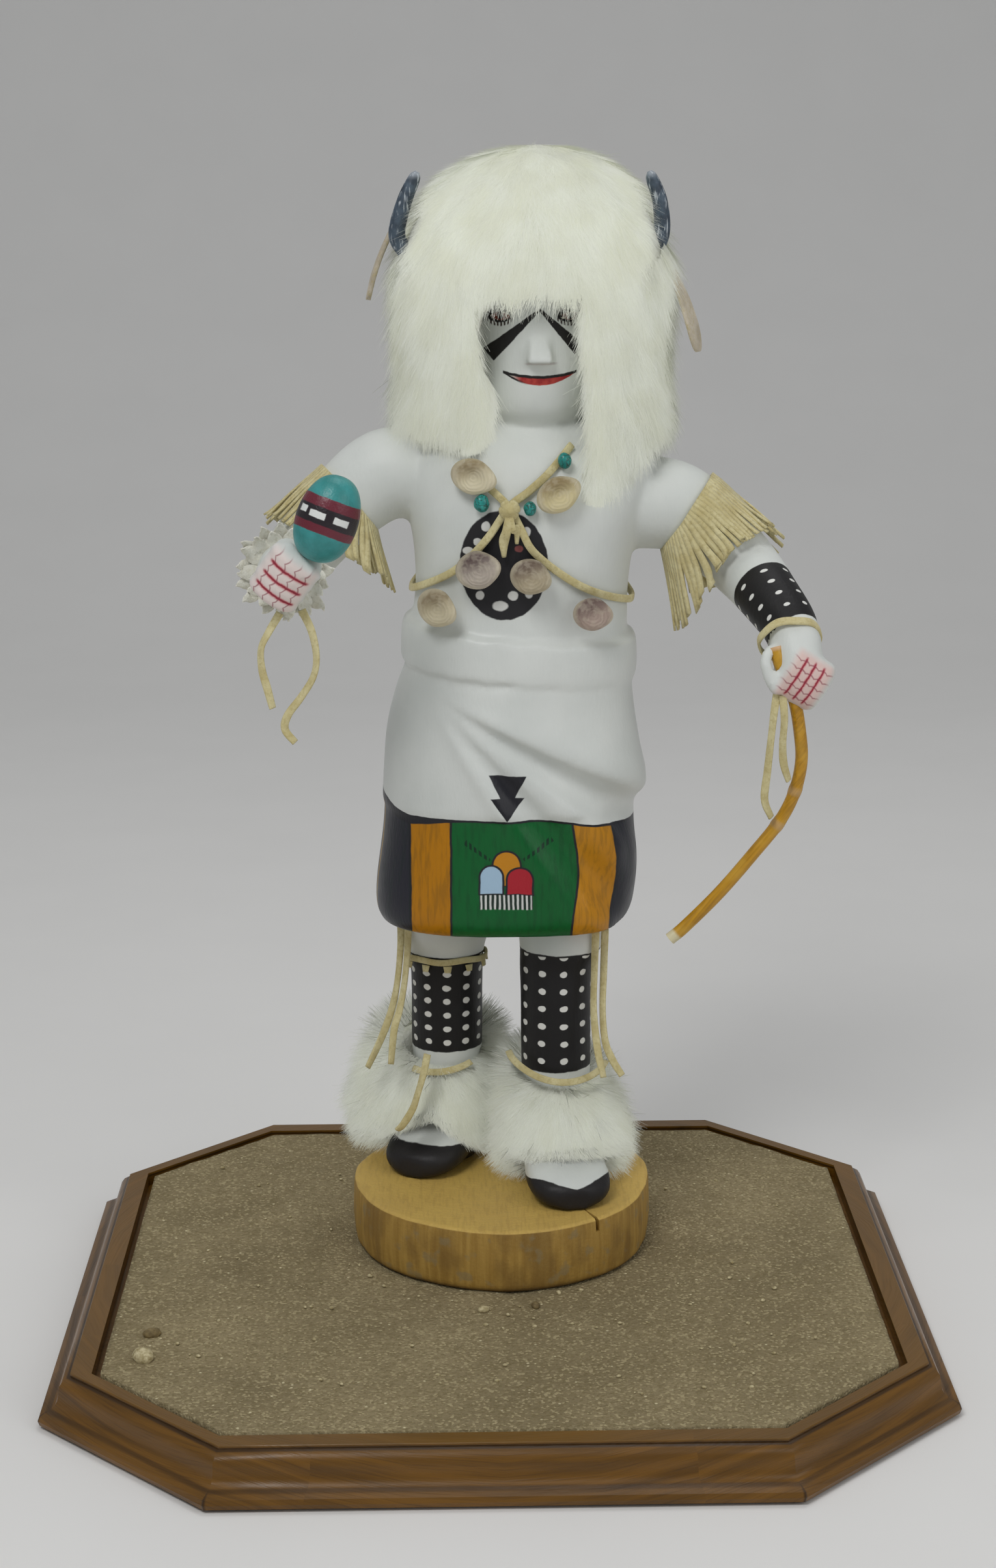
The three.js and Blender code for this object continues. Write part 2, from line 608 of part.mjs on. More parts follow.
function makeWig() {
  const opening = new THREE.Shape();
  opening.moveTo(FACE_LEFT - 4, 300);
  opening.lineTo(FACE_RIGHT - 1, 300);
  opening.lineTo(FACE_RIGHT, FACE_TOP - 12);
  opening.quadraticCurveTo(FACE_RIGHT, FACE_TOP, FACE_RIGHT - 10, FACE_TOP + 0.5);
  opening.lineTo(FACE_LEFT + 10, FACE_TOP + 0.5);
  opening.quadraticCurveTo(FACE_LEFT, FACE_TOP, FACE_LEFT, FACE_TOP - 12);
  const cut = new THREE.ExtrudeGeometry(opening, { depth: 80, bevelEnabled: false, curveSegments: 4 });
  cut.rotateX(Math.PI / 2);
  cut.translate(0, 20, 0);
  const [low, high] = [WIG[0][0], WIG[WIG.length - 1][0]];
  const hair = barrel(20, 8, (angle, along) => {
    const point = onColumn(WIG, angle, low + (high - low) * along);
    const front = smooth(50, 10, point.y);
    point.z -= LOCK_DROP * smooth(26, 62, point.x) * front * (1 - smooth(0, 0.25, along));
    return point;
  });
  return hair.subtract(toSolid(cut))
    .subtract(column(HEAD, 12, 6, 3)).subtract(bodySpace(8, 6, 4.2));
}

// Fur cuff, standing higher at the back
function anklet(rows, lean, grow) {
  const [low, high] = [rows[0][0], rows[rows.length - 1][0]];
  const [cx, cy] = rows[2].slice(1);
  return barrel(14, 4, (angle, along) => {
    const point = onColumn(rows, angle, low + (high - low) * along, grow);
    point.z += (along * 2 - 1) * grow + along * (lean[0] * (point.y - cy) + lean[1] * (point.x - cx));
    return point;
  });
}

// Leather

// Fringed band round an upper arm: its lower edge is cut in strips,
// the lower ones hang and the upper ones lie on the arm
function makeFringe(rows, place, strips, lengths) {
  const curve = new THREE.CatmullRomCurve3(rows.map(vec));
  const span = curve.getLength();
  const radii = rows.map((row, i) => [i / (rows.length - 1), row[3]]);
  const onArm = (share, angle, lift) => {
    const axis = curve.getTangent(share);
    const across = axis.clone().cross(forward).normalize();
    const outward = across.clone().multiplyScalar(Math.cos(angle))
      .addScaledVector(across.cross(axis), Math.sin(angle));
    return [curve.getPoint(share).addScaledVector(outward, follow(radii, share)[0] + lift), outward];
  };
  const turns = strips * 3;
  return hoop(turns, 4, (i, j) => {
    const angle = i / turns * 2 * Math.PI;
    const lift = j === 0 || j === 3 ? 2.6 : 0.9;
    const [start, outward] = onArm(place, angle, lift);
    if (j === 0 || j === 1) return start;
    const hang = smooth(0.35, -0.45, outward.z);
    const full = lengths[0] + (lengths[1] - lengths[0]) * hang + 3 * Math.sin(Math.floor(i / 3) * 2.4);
    const reach = i % 3 === 2 ? 10 : full;
    const [lying] = onArm(place + reach / span, angle, lift + reach * 0.12);
    const hanging = start.clone().addScaledVector(outward, reach * 0.08);
    hanging.z -= reach;
    return lying.lerp(hanging, hang);
  });
}

// Cuff round a wrist, with points standing out from its edge
function makeCuff(centre, axis, inner, outer, points, length) {
  const side = new THREE.Vector3(0, 0, 1).cross(axis).normalize();
  const upper = axis.clone().cross(side);
  const turns = points * 2;
  return hoop(turns, 4, (i, j) => {
    const angle = i / turns * 2 * Math.PI;
    const outward = side.clone().multiplyScalar(Math.cos(angle)).addScaledVector(upper, Math.sin(angle));
    const tip = i % 2 === 0 ? outer : outer * 0.62;
    const radius = j === 0 || j === 3 ? tip : inner;
    const shift = j < 2 ? length : 0;
    const flare = j === 0 || j === 3 ? 5 : 0;
    return centre.clone().addScaledVector(outward, radius).addScaledVector(axis, shift + flare);
  });
}

function makeBand(centre, axis, inner, outer, width) {
  const side = new THREE.Vector3(1, 0.2, 0).cross(axis).normalize();
  const upper = axis.clone().cross(side);
  return hoop(12, 4, (i, j) => {
    const angle = i / 12 * 2 * Math.PI;
    const outward = side.clone().multiplyScalar(Math.cos(angle)).addScaledVector(upper, Math.sin(angle));
    return centre.clone().addScaledVector(outward, j === 0 || j === 3 ? outer : inner)
      .addScaledVector(axis, j < 2 ? width / 2 : -width / 2);
  });
}

// Points on the front of the trunk by x, and round its back by the angle from the front
const onChest = (x, z, lift) => onColumn(TRUNK, frontAngle(TRUNK, x, z, lift), z, lift);
const onBack = (degrees, z, lift) => onColumn(TRUNK, THREE.MathUtils.degToRad(degrees), z, lift);

function bandolier(front, back, grow) {
  const rest = BANDOLIER_RADIUS + 1;
  const path = [
    ...front.map(([x, z, lift = 0]) => onChest(x, z, rest + lift)),
    ...back.map(([degrees, z, lift = 0]) => onBack(degrees, z, rest + lift)),
  ];
  return tube(path, BANDOLIER_RADIUS + grow, 5, 20);
}

const underBandolier = (grow) => bandolier(UNDER_FRONT, UNDER_BACK, grow);
const overBandolier = (grow) => bandolier(OVER_FRONT, OVER_BACK, grow);
const bandolierSpace = underBandolier(GAP + 0.2).add(overBandolier(GAP + 0.2));

// Shell: a rounded body drawn out to a blunt point at one end, resting on the chest
function makeShell(x, z, long, wide, turn, off) {
  const geometry = ellipsoid([long / 2, 4.6, wide / 2], 8, 5);
  const position = geometry.attributes.position;
  for (let v = 0; v < position.count; v += 1) {
    const share = position.getX(v) / (long / 2);
    const slim = 1 - 0.28 * smooth(0, 1, share);
    position.setXYZ(v, position.getX(v), position.getY(v) * slim, position.getZ(v) * slim);
  }
  const lean = frontAngle(TRUNK, x, z);
  geometry.rotateY(-THREE.MathUtils.degToRad(turn));
  geometry.rotateZ(lean * 0.75);
  const spot = onChest(x, z, 4.6 + off);
  geometry.translate(spot.x, spot.y, spot.z);
  return toSolid(geometry).subtract(bandolierSpace);
}

function makeBead(x, z, half) {
  const geometry = ellipsoid([half, 2.6, half * 1.15], 8, 5);
  const spot = onChest(x, z, 2.6 + 0.8);
  geometry.translate(spot.x, spot.y, spot.z);
  return toSolid(geometry).subtract(bandolierSpace);
}

function makeKnot() {
  const spot = onChest(6.7, 319, 9.6);
  const knot = ellipsoid([4.2, 2.6, 3.4], 8, 5);
  knot.translate(spot.x, spot.y, spot.z);
  let solid = toSolid(knot);
  for (const [x, z] of [[4.2, 300], [8.6, 303]]) {
    const tail = [spot.clone(), onChest((x + 6.7) / 2, 312, 6.6), onChest(x, z + 6, 3.4), onChest(x, z, 2.2)];
    solid = solid.add(tube(tail, THONG_RADIUS, 5, 4));
  }
  return solid.subtract(bandolierSpace);
}

// Putting the pieces together

addPiece(base, 'plinth', makePlinth(), colours.walnut);
addPiece(base, 'sand_bed', makeSand(), colours.sand);
addPiece(base, 'log_slice', makeLog(), colours.log);

addPiece(doll, 'figure', makeFigure(), colours.doll);

const wig = makeWig();
const wigSpace = column(WIG, 20, 8, GAP);
addPiece(doll, 'fur_wig', wig, colours.fur);
addPiece(doll, 'horn_right', limb(HORN_RIGHT, 7, 8, forward).subtract(wigSpace), colours.horn);
addPiece(doll, 'horn_left', limb(HORN_LEFT, 7, 8, forward).subtract(wigSpace), colours.horn);

// Ear tabs: flat, round at the end, hanging from the sides of the head
function makeEar(root, tip, faceTurn) {
  const outline = new THREE.Shape();
  outline.moveTo(0, -EAR_WIDTH * 0.3);
  outline.lineTo(EAR_LENGTH * 0.65, -EAR_WIDTH / 2);
  outline.quadraticCurveTo(EAR_LENGTH, -EAR_WIDTH / 2, EAR_LENGTH, 0);
  outline.quadraticCurveTo(EAR_LENGTH, EAR_WIDTH / 2, EAR_LENGTH * 0.65, EAR_WIDTH / 2);
  outline.lineTo(0, EAR_WIDTH * 0.3);
  const tab = new THREE.ExtrudeGeometry(outline, { depth: EAR_THICK, bevelEnabled: false, curveSegments: 4 });
  tab.translate(0, 0, -EAR_THICK / 2);
  const along = vec(tip).sub(vec(root)).normalize();
  const normal = new THREE.Vector3(Math.sin(faceTurn), -Math.cos(faceTurn), 0);
  normal.addScaledVector(along, -normal.dot(along)).normalize();
  tab.applyMatrix4(new THREE.Matrix4().makeBasis(along, normal.clone().cross(along), normal));
  tab.translate(...root);
  return toSolid(tab).subtract(wigSpace);
}

addPiece(doll, 'ear_right', makeEar([-33, 46.5, 419], [-45.5, 46, 394], -1.25), colours.leather);
addPiece(doll, 'ear_left', makeEar([66, 35, 399], [79, 33, 374], 0.5), colours.leather);

const body = bodySpace(10, 8, 0.6);
addPiece(trim, 'arm_fringe_right', makeFringe(ARM_RIGHT, 0.3, 11, [21, 20]).subtract(body), colours.leather);
addPiece(trim, 'arm_fringe_left', makeFringe(ARM_LEFT, 0.19, 11, [27, 28]).subtract(body), colours.leather);

const ruff = makeCuff(vec(RUFF_CENTRE), vec(RUFF_AXIS).normalize(), 11.4, 19, 14, 3);
addPiece(trim, 'wrist_ruff_right', ruff, colours.leather);
const wristBand = makeBand(vec(WRIST_CENTRE), vec(WRIST_AXIS).normalize(), 11, 12.6, 3.6);
addPiece(trim, 'wrist_band_left', wristBand, colours.leather);
addPiece(trim, 'knee_garter_right', makeBand(vec(GARTER_CENTRE), upright, 16.4, 18, 3.2), colours.leather);

const gourd = ellipsoid(RATTLE_HALF, 12, 8);
gourd.applyQuaternion(new THREE.Quaternion().setFromUnitVectors(upright, gourdAxis));
gourd.translate(...RATTLE);
addPiece(trim, 'rattle', toSolid(gourd).subtract(rightHand(0.8)).add(handle(HANDLE_RADIUS, 0)), colours.teal);
addPiece(trim, 'bow', bow(0), colours.amber);

addPiece(trim, 'bandolier_1', underBandolier(0), colours.leather);
addPiece(trim, 'bandolier_2', overBandolier(0), colours.leather);
addPiece(trim, 'bandolier_knot', makeKnot(), colours.leather);
SHELLS.forEach((sizes, i) => addPiece(trim, `shell_${i + 1}`, makeShell(...sizes), colours.shell));
BEADS.forEach((sizes, i) => addPiece(trim, `bead_${i + 1}`, makeBead(...sizes), colours.turquoise));

const legSpace = makeLegs(0.7);
const leftAnklet = anklet(ANKLET_LEFT, ANKLET_LEAN_LEFT, 0).subtract(legSpace);
const rightAnklet = anklet(ANKLET_RIGHT, ANKLET_LEAN_RIGHT, 0)
  .subtract(anklet(ANKLET_LEFT, ANKLET_LEAN_LEFT, 0.6)).subtract(legSpace);
addPiece(trim, 'fur_anklet_right', rightAnklet, colours.fur);
addPiece(trim, 'fur_anklet_left', leftAnklet, colours.fur);

for (const [name, points] of Object.entries(THONGS)) {
  addPiece(trim, name, tube(points.map(vec), THONG_RADIUS, 8, THONG_STEPS), colours.leather);
}

const object = new THREE.Group();
object.add(base, doll, trim);

export default object;
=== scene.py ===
# A carved and painted kachina doll on a log slice, in a sand bed on an octagonal plinth.
# Sizes are millimetres until a vertex is placed. The doll faces -Y, and its own right side is at -X.
import math

import bmesh
import bpy
import numpy as np
from mathutils import Matrix, Vector, noise
from mathutils.kdtree import KDTree


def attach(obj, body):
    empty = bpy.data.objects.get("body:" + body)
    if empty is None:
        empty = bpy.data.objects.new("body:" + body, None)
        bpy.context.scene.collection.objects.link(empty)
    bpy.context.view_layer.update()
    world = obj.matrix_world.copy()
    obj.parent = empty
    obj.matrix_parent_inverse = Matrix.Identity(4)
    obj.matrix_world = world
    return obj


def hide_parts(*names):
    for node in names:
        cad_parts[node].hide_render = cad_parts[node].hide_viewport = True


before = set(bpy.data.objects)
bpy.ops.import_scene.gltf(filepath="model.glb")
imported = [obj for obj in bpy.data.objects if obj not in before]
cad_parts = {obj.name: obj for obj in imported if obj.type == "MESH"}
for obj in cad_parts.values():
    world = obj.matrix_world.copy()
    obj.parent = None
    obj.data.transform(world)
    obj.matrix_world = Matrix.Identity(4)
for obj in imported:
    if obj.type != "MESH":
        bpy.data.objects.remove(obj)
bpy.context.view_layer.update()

scene = bpy.context.scene
mm = 0.001
fullTurn = 2 * math.pi
seedNumber = 5
chance = np.random.default_rng(seedNumber)
# Without a seed of its own, Blender's vector noise starts from the clock
noise.seed_set(seedNumber)


# Shape helpers

def unit(vectors):
    return vectors / np.maximum(np.linalg.norm(vectors, axis=-1, keepdims=True), 1e-9)


def smooth(low, high, value):
    share = np.clip((value - low) / (high - low), 0, 1)
    return share * share * (3 - 2 * share)


def bend(value, power):
    return np.sign(value) * np.abs(value) ** power


def follow(rows, place):
    # Smooth curve through rows of keys: the first value of a row is its place, the others are carried along
    keys = np.asarray(rows, float)
    last = len(keys) - 1
    at = np.clip(place, keys[0, 0], keys[last, 0])
    i = np.clip(np.searchsorted(keys[:, 0], at) - 1, 0, last - 1)
    before, start = keys[np.maximum(i - 1, 0)], keys[i]
    end, after = keys[i + 1], keys[np.minimum(i + 2, last)]
    span = end[..., :1] - start[..., :1]
    t = (np.asarray(at)[..., None] - start[..., :1]) / span
    slopeIn = (end - before) / (end[..., :1] - before[..., :1]) * span
    slopeOut = (after - start) / (after[..., :1] - start[..., :1]) * span
    curve = start * (2 * t**3 - 3 * t**2 + 1) + slopeIn * (t**3 - 2 * t**2 + t)
    curve = curve + end * (3 * t**2 - 2 * t**3) + slopeOut * (t**3 - t**2)
    return curve[..., 1:]


def onColumn(rows, angle, height, lift=0.0):
    # Point of an upright column of rounded sections, at an angle from the front
    cx, cy, a, b, square = np.moveaxis(follow(rows, height), -1, 0)
    x = cx + (a + lift) * bend(np.sin(angle), 2 / square)
    y = cy - (b + lift) * bend(np.cos(angle), 2 / square)
    return np.stack(np.broadcast_arrays(x, y, height), -1)


def onFront(rows, x, height, lift):
    # Point of the column's front side that has this x
    cx, cy, a, b, square = follow(rows, height)
    share = np.clip((x - cx) / (a + lift), -1, 1)
    return onColumn(rows, np.arcsin(bend(share, square / 2)), height, lift)


def alongPath(points, share):
    # Place and direction on a smooth path through points; what a point has beyond x, y, z is carried along
    keys = [(i / (len(points) - 1), *point) for i, point in enumerate(points)]
    ahead = follow(keys, np.minimum(share + 0.004, 1)) - follow(keys, np.maximum(share - 0.004, 0))
    return follow(keys, share), unit(ahead[..., :3])


def limb(points, front=(0, -1, 1)):
    # Round limb along a path whose points carry a radius
    def place(across, along):
        here, axis = alongPath(points, along)
        facing = unit(np.array(front) - (axis @ np.array(front))[:, None] * axis)
        turn = (across * fullTurn)[:, None]
        return here[:, :3] + here[:, 3:4] * (np.sin(turn) * np.cross(axis, facing) + np.cos(turn) * facing)
    return place


def strap(points, width, thick, front, twist=0.0, power=0.6):
    # Flat strap along a path, its broad side turned to the front
    def place(across, along):
        here, axis = alongPath(points, along)
        towards = front(here) if callable(front) else np.array(front, float) + 0 * here[:, :3]
        facing = unit(towards - np.sum(towards * axis, axis=1, keepdims=True) * axis)
        side = np.cross(axis, facing)
        roll = (twist * np.sin(along * math.pi * 1.3))[:, None]
        outer = np.cos(roll) * facing + np.sin(roll) * side
        side = np.cos(roll) * side - np.sin(roll) * facing
        turn = (across * fullTurn)[:, None]
        broad = width / 2 * (here[:, 3:4] if here.shape[1] > 3 else 1.0)
        rim = here[:, :3] + broad * bend(np.cos(turn), power) * side
        return rim + thick / 2 * bend(np.sin(turn), power) * outer
    return place


def closeHoles(bm):
    bmesh.ops.holes_fill(bm, edges=[edge for edge in bm.edges if edge.is_boundary], sides=0)


def relax(bm, times):
    for _ in range(times):
        bmesh.ops.smooth_vert(
            bm, verts=bm.verts, factor=0.5, use_axis_x=True, use_axis_y=True, use_axis_z=True,
        )


def cutStrips(bm, count, steps):
    # Flat grid with every second column taken out, so that this many strips are left
    columns = 2 * count - 1
    verts = bmesh.ops.create_grid(bm, x_segments=columns, y_segments=steps, size=0.5)["verts"]
    faces = {face for vert in verts for face in vert.link_faces}
    spare = [face for face in faces if round((face.calc_center_median().x + 0.5) * columns - 0.5) % 2]
    bmesh.ops.delete(bm, geom=spare, context="FACES")
    return [vert for vert in verts if vert.is_valid]


def stripOf(flat, count):
    # Number of the strip that each vertex of such a grid is on, and its side of it
    column = np.rint(flat[:, 0] * (2 * count - 1)).astype(int)
    return column // 2, column % 2 - 0.5


def gridSkin(bm, columns, rows, place, caps=True):
    # Grid of quads, rolled up and put in place by a function of the way round and the way along
    verts = bmesh.ops.create_grid(bm, x_segments=columns, y_segments=rows, size=0.5)["verts"]
    flat = np.array([vert.co[:2] for vert in verts], float) + 0.5
    for vert, point in zip(verts, place(flat[:, 0], flat[:, 1]) * mm):
        vert.co = point
    bmesh.ops.remove_doubles(bm, verts=verts, dist=0.004 * mm)
    if caps:
        closeHoles(bm)


def toObject(name, bm, recalc=True):
    if recalc:
        bmesh.ops.recalc_face_normals(bm, faces=bm.faces)
    mesh = bpy.data.meshes.new(name)
    bm.to_mesh(mesh)
    bm.free()
    made = bpy.data.objects.new(name, mesh)
    scene.collection.objects.link(made)
    return made


def settled(raw):
    # Mesh of an object with its modifiers carried out, as a new bmesh
    done = bpy.data.meshes.new_from_object(raw.evaluated_get(bpy.context.evaluated_depsgraph_get()))
    bpy.data.objects.remove(raw)
    bm = bmesh.new()
    bm.from_mesh(done)
    bpy.data.meshes.remove(done)
    return bm


def addPiece(name, bm, surfaces, nodes, sharp=None, recalc=True):
    made = toObject(name, bm, recalc)
    for surface in surfaces:
        made.data.materials.append(surface)
    made.data.shade_smooth()
    if sharp:
        made.data.set_sharp_from_angle(angle=math.radians(sharp))
    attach(made, "root")
    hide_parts(*nodes)
    return made


def addSkin(name, columns, rows, place, surface, node, caps=True, sharp=None):
    # Piece that is one skin
    bm = bmesh.new()
    gridSkin(bm, columns, rows, place, caps)
    return addPiece(name, bm, [surface], [node], sharp)


# Surface helpers

def tone(code):
    # Linear colour of an sRGB hex code
    parts = [int(code[i:i + 2], 16) / 255 for i in (1, 3, 5)]
    return (*[p / 12.92 if p <= 0.04045 else ((p + 0.055) / 1.055) ** 2.4 for p in parts], 1.0)


class Surface:
    def __init__(self, name):
        self.material = bpy.data.materials.new(name)
        self.material.use_nodes = True
        self.tree = self.material.node_tree
        self.tree.nodes.clear()

    def add(self, kind, *values, output=0, named=None, **settings):
        # Adds a node with its settings and links; a name in capitals is a sum
        made = self.tree.nodes.new("ShaderNode" + ("Math" if kind.isupper() else kind))
        if kind.isupper():
            made.operation = kind
        for key, value in settings.items():
            setattr(made, key, value)
        for key, value in [*enumerate(values), *(named or {}).items()]:
            if isinstance(value, bpy.types.NodeSocket):
                self.tree.links.new(value, made.inputs[key])
            else:
                made.inputs[key].default_value = value
        return made.outputs[:] if output is None else made.outputs[output]

    def local(self, origin=(0, 0, 0), up=(0, 0, 1), front=(0, -1, 0)):
        # Place in millimetres from an origin: across, away from the front, up
        up = Vector(up).normalized()
        away = -(Vector(front) - Vector(front).dot(up) * up).normalized()
        turn = Matrix((away.cross(up), away, up)).transposed().to_euler()
        place = {"Location": Vector(origin) * mm, "Rotation": turn, "Scale": (mm,) * 3}
        return self.add("Mapping", self.add("TexCoord", output="Object"), named=place, vector_type="TEXTURE")

    def mottle(self, place, size, detail=2.0, stretch=None, output=0):
        # Soft noise of a real size, drawn out where the stretch is below 1
        if stretch:
            place = self.add("Mapping", place, named={"Scale": stretch})
        noiseValues = {"Vector": place, "Scale": 1 / size, "Detail": detail}
        return self.add("TexNoise", output=output, named=noiseValues)

    def clouded(self, light, dark, place, size, detail, soft, stretch=None):
        # Two close tones in soft patches of a real size
        patches = self.step(self.mottle(place, size, detail, stretch), 0.5, soft)
        return self.coat(tone(light), patches, tone(dark))

    def wobbled(self, place, size, amount):
        # Place shaken a little, as a hand-held brush is
        shake = self.mottle(place, size, output=1)
        moved = self.add("VectorMath", shake, (amount * 2,) * 3, place, operation="MULTIPLY_ADD")
        return self.add("VectorMath", moved, (amount,) * 3, operation="SUBTRACT")

    def step(self, value, edge, soft=0.2):
        # 0 below an edge and 1 above it
        return self.add("MapRange", value, edge - soft, edge + soft, interpolation_type="SMOOTHSTEP")

    def below(self, value, edge, soft=0.2):
        return self.add("SUBTRACT", 1.0, self.step(value, edge, soft))

    def band(self, value, low, high, soft=0.2):
        return self.add("SUBTRACT", self.step(value, low, soft), self.step(value, high, soft))

    def both(self, *masks):
        made = masks[0]
        for mask in masks[1:]:
            made = self.add("MULTIPLY", made, mask)
        return made

    def coat(self, base, mask, colour, strength=1.0):
        # A colour laid over another where the mask is
        if strength < 1:
            mask = self.add("MULTIPLY", mask, strength)
        return self.add("Mix", mask, output=2, named={6: base, 7: colour}, data_type="RGBA")

    def squares(self, x, z):
        return self.add("MULTIPLY_ADD", z, z, self.add("MULTIPLY", x, x))

    def dab(self, x, z, centre, half, soft=0.15):
        # Oval dab of paint
        across = self.add("MULTIPLY_ADD", x, 1 / half[0], -centre[0] / half[0])
        up = self.add("MULTIPLY_ADD", z, 1 / half[1], -centre[1] / half[1])
        return self.below(self.squares(across, up), 1.0, soft)

    def stroke(self, x, z, start, end, widths):
        # Straight brush stroke whose width changes from start to end
        span = math.dist(start, end)
        ux, uz = (end[0] - start[0]) / span, (end[1] - start[1]) / span
        up = self.add("MULTIPLY_ADD", z, uz, -start[0] * ux - start[1] * uz)
        along = self.add("MULTIPLY_ADD", x, ux, up)
        aside = self.add("MULTIPLY_ADD", z, ux, start[0] * uz - start[1] * ux)
        across = self.add("ABSOLUTE", self.add("MULTIPLY_ADD", x, -uz, aside))
        half = self.add("MULTIPLY_ADD", along, (widths[1] - widths[0]) / span / 2, widths[0] / 2)
        inside = self.step(self.add("SUBTRACT", half, across), 0)
        return self.both(inside, self.band(along, 0, span))

    def arch(self, x, z, centre, radius, low):
        # Round-topped tab standing on a level
        across = self.add("SUBTRACT", x, centre[0])
        over = self.add("MAXIMUM", self.add("SUBTRACT", z, centre[1]), 0.0)
        away = self.add("SQRT", self.squares(across, over))
        return self.both(self.below(away, radius), self.step(z, low))

    def repeat(self, value, pitch, start=0.0):
        # Distance from the middle of the nearest of evenly spaced lines
        cell = self.add("FRACT", self.add("MULTIPLY_ADD", value, 1 / pitch, 0.5 - start / pitch))
        return self.add("MULTIPLY", self.add("SUBTRACT", cell, 0.5), pitch)

    def finish(self, colour, roughness, height=None, depth=0.1, **constants):
        shader = {"Base Color": colour, "Roughness": roughness}
        shader.update({key.replace("_", " "): value for key, value in constants.items()})
        if height is not None:
            shader["Normal"] = self.add("Bump", named={"Height": height, "Distance": depth * mm})
        lit = self.add("BsdfPrincipled", named=shader)
        self.add("OutputMaterial", lit, output=None)
        return self.material


# Plinth: varnished walnut moulding, mitred at the eight corners

plinth = {
    "half": 167.5,
    "cut": 65.0,
    "recessHalf": 148.0,
    "recessCut": 50.0,
    "floor": 13.6,
    "moulding": [
        (164.6, 0), (166.9, 1.2), (167.5, 3), (166.9, 4.8), (164.6, 6), (163.2, 6.3), (161.6, 7.6),
        (160.6, 9.4), (160.2, 11.4), (160, 13), (159.6, 15), (158.4, 16.8), (156.8, 17.8), (155.8, 18.1),
        (155.8, 19.1), (155.6, 19.3),
    ],
    "perSide": 6,
    "shadedCreases": [(17.6, 18.5, 0.25, 0.75), (5.9, 6.7, 0.3, 0.5)],
    "chip": (-146.5, -122.5),
}


def octagonPoint(half, cut, across):
    # Point of an octagon by the way round it, from the left end of the front side
    near = half - cut
    corners = np.array([
        (-near, -half), (near, -half), (half, -near), (half, near),
        (near, half), (-near, half), (-half, near), (-half, -near), (-near, -half),
    ])
    place = np.clip(across * 8, 0, 7.9999)
    side = place.astype(int)
    share = np.where(across >= 1, 1.0, place - side)[:, None]
    return corners[side] * (1 - share) + corners[side + 1] * share


def walnutVarnished():
    # Long dark grain along each side, a satin gloss, dark mitre joints, painted shade in the steps of the
    # moulding and a pale chip on one edge
    s = Surface("walnut_varnished")
    grainPlace = s.add("Mapping", s.add("UVMap", uv_map="grain"), named={"Scale": (0.012, 0.16, 1.0)})
    figure = s.add("TexNoise", named={"Vector": grainPlace, "Scale": 1.0, "Detail": 5.0, "Distortion": 0.6})
    pores = s.mottle(grainPlace, 1.0, 3.0, (4, 9, 1))
    colour = s.coat(tone("#7c551a"), s.step(figure, 0.5, 0.3), tone("#583b0e"))
    colour = s.coat(colour, s.step(pores, 0.6, 0.1), tone("#301d07"), 0.3)
    mitre = s.add("Attribute", output="Fac", attribute_name="mitre")
    colour = s.coat(colour, s.add("SUBTRACT", 0.75, s.step(mitre, 0.7, 0.6)), tone("#1c0f05"))
    x, y, z = s.add("SeparateXYZ", s.local(), output=None)
    # Painted shade: dark lines where the moulding steps in
    shadedCreases = [s.both(s.band(z, low, high, soft), share) for low, high, soft, share in plinth["shadedCreases"]]
    colour = s.coat(colour, s.add("MAXIMUM", *shadedCreases), tone("#1f1206"))
    chip = s.both(s.dab(x, y, plinth["chip"], (1.7, 1.2)), s.step(z, 18.6))
    colour = s.coat(colour, chip, tone("#c9bfa6"))
    colour = s.coat(colour, s.step(z, 18.9, 0.2), tone("#6f5016"), 0.5)
    rough = s.add("MULTIPLY_ADD", pores, 0.2, 0.24)
    return s.finish(colour, rough, pores, 0.1, Coat_Weight=0.08, Coat_Roughness=0.25, Specular_IOR_Level=0.35)


def makePlinth():
    rows = [*plinth["moulding"], (plinth["recessHalf"], 19.3), (plinth["recessHalf"], plinth["floor"])]
    bm = bmesh.new()
    mitre = bm.verts.layers.float.new("mitre")
    columns = 8 * plinth["perSide"]

    def place(across, along):
        row = np.rint(along * (len(rows) - 1)).astype(int)
        half = np.array(rows, float)[row, 0]
        cut = plinth["cut"] - (plinth["half"] - half) * 0.586
        cut = np.where(row >= len(rows) - 2, plinth["recessCut"], cut)
        points = np.empty((len(across), 3))
        for i in range(len(rows)):
            chosen = row == i
            points[chosen, :2] = octagonPoint(half[chosen][0], cut[chosen][0], across[chosen])
        points[:, 2] = np.array(rows, float)[row, 1]
        return points

    gridSkin(bm, columns, len(rows) - 1, place)
    corners = octagonPoint(1.0, 0.388, np.arange(8) / 8)
    turns = np.arctan2(corners[:, 1], corners[:, 0])
    for vert in bm.verts:
        turn = math.atan2(vert.co.y, vert.co.x)
        away = min(abs(math.remainder(turn - corner, fullTurn)) for corner in turns)
        vert[mitre] = away * vert.co.xy.length / mm
    grain = bm.loops.layers.uv.new("grain")
    for face in bm.faces:
        centre = face.calc_center_median()
        side = round(math.atan2(centre.y, centre.x) / (math.pi / 4))
        along = Vector((-math.sin(side * math.pi / 4), math.cos(side * math.pi / 4)))
        for loop in face.loops:
            spot = loop.vert.co
            upward = (spot.z - spot.xy.length) / mm
            loop[grain].uv = (spot.xy.dot(along) / mm + 700 * side, upward + 37 * side)
    return addPiece("plinth_walnut", bm, [walnutVarnished()], ["plinth"], sharp=32)


makePlinth()
print("plinth made")


# Sand bed: loose grey-brown sand with a few pebbles

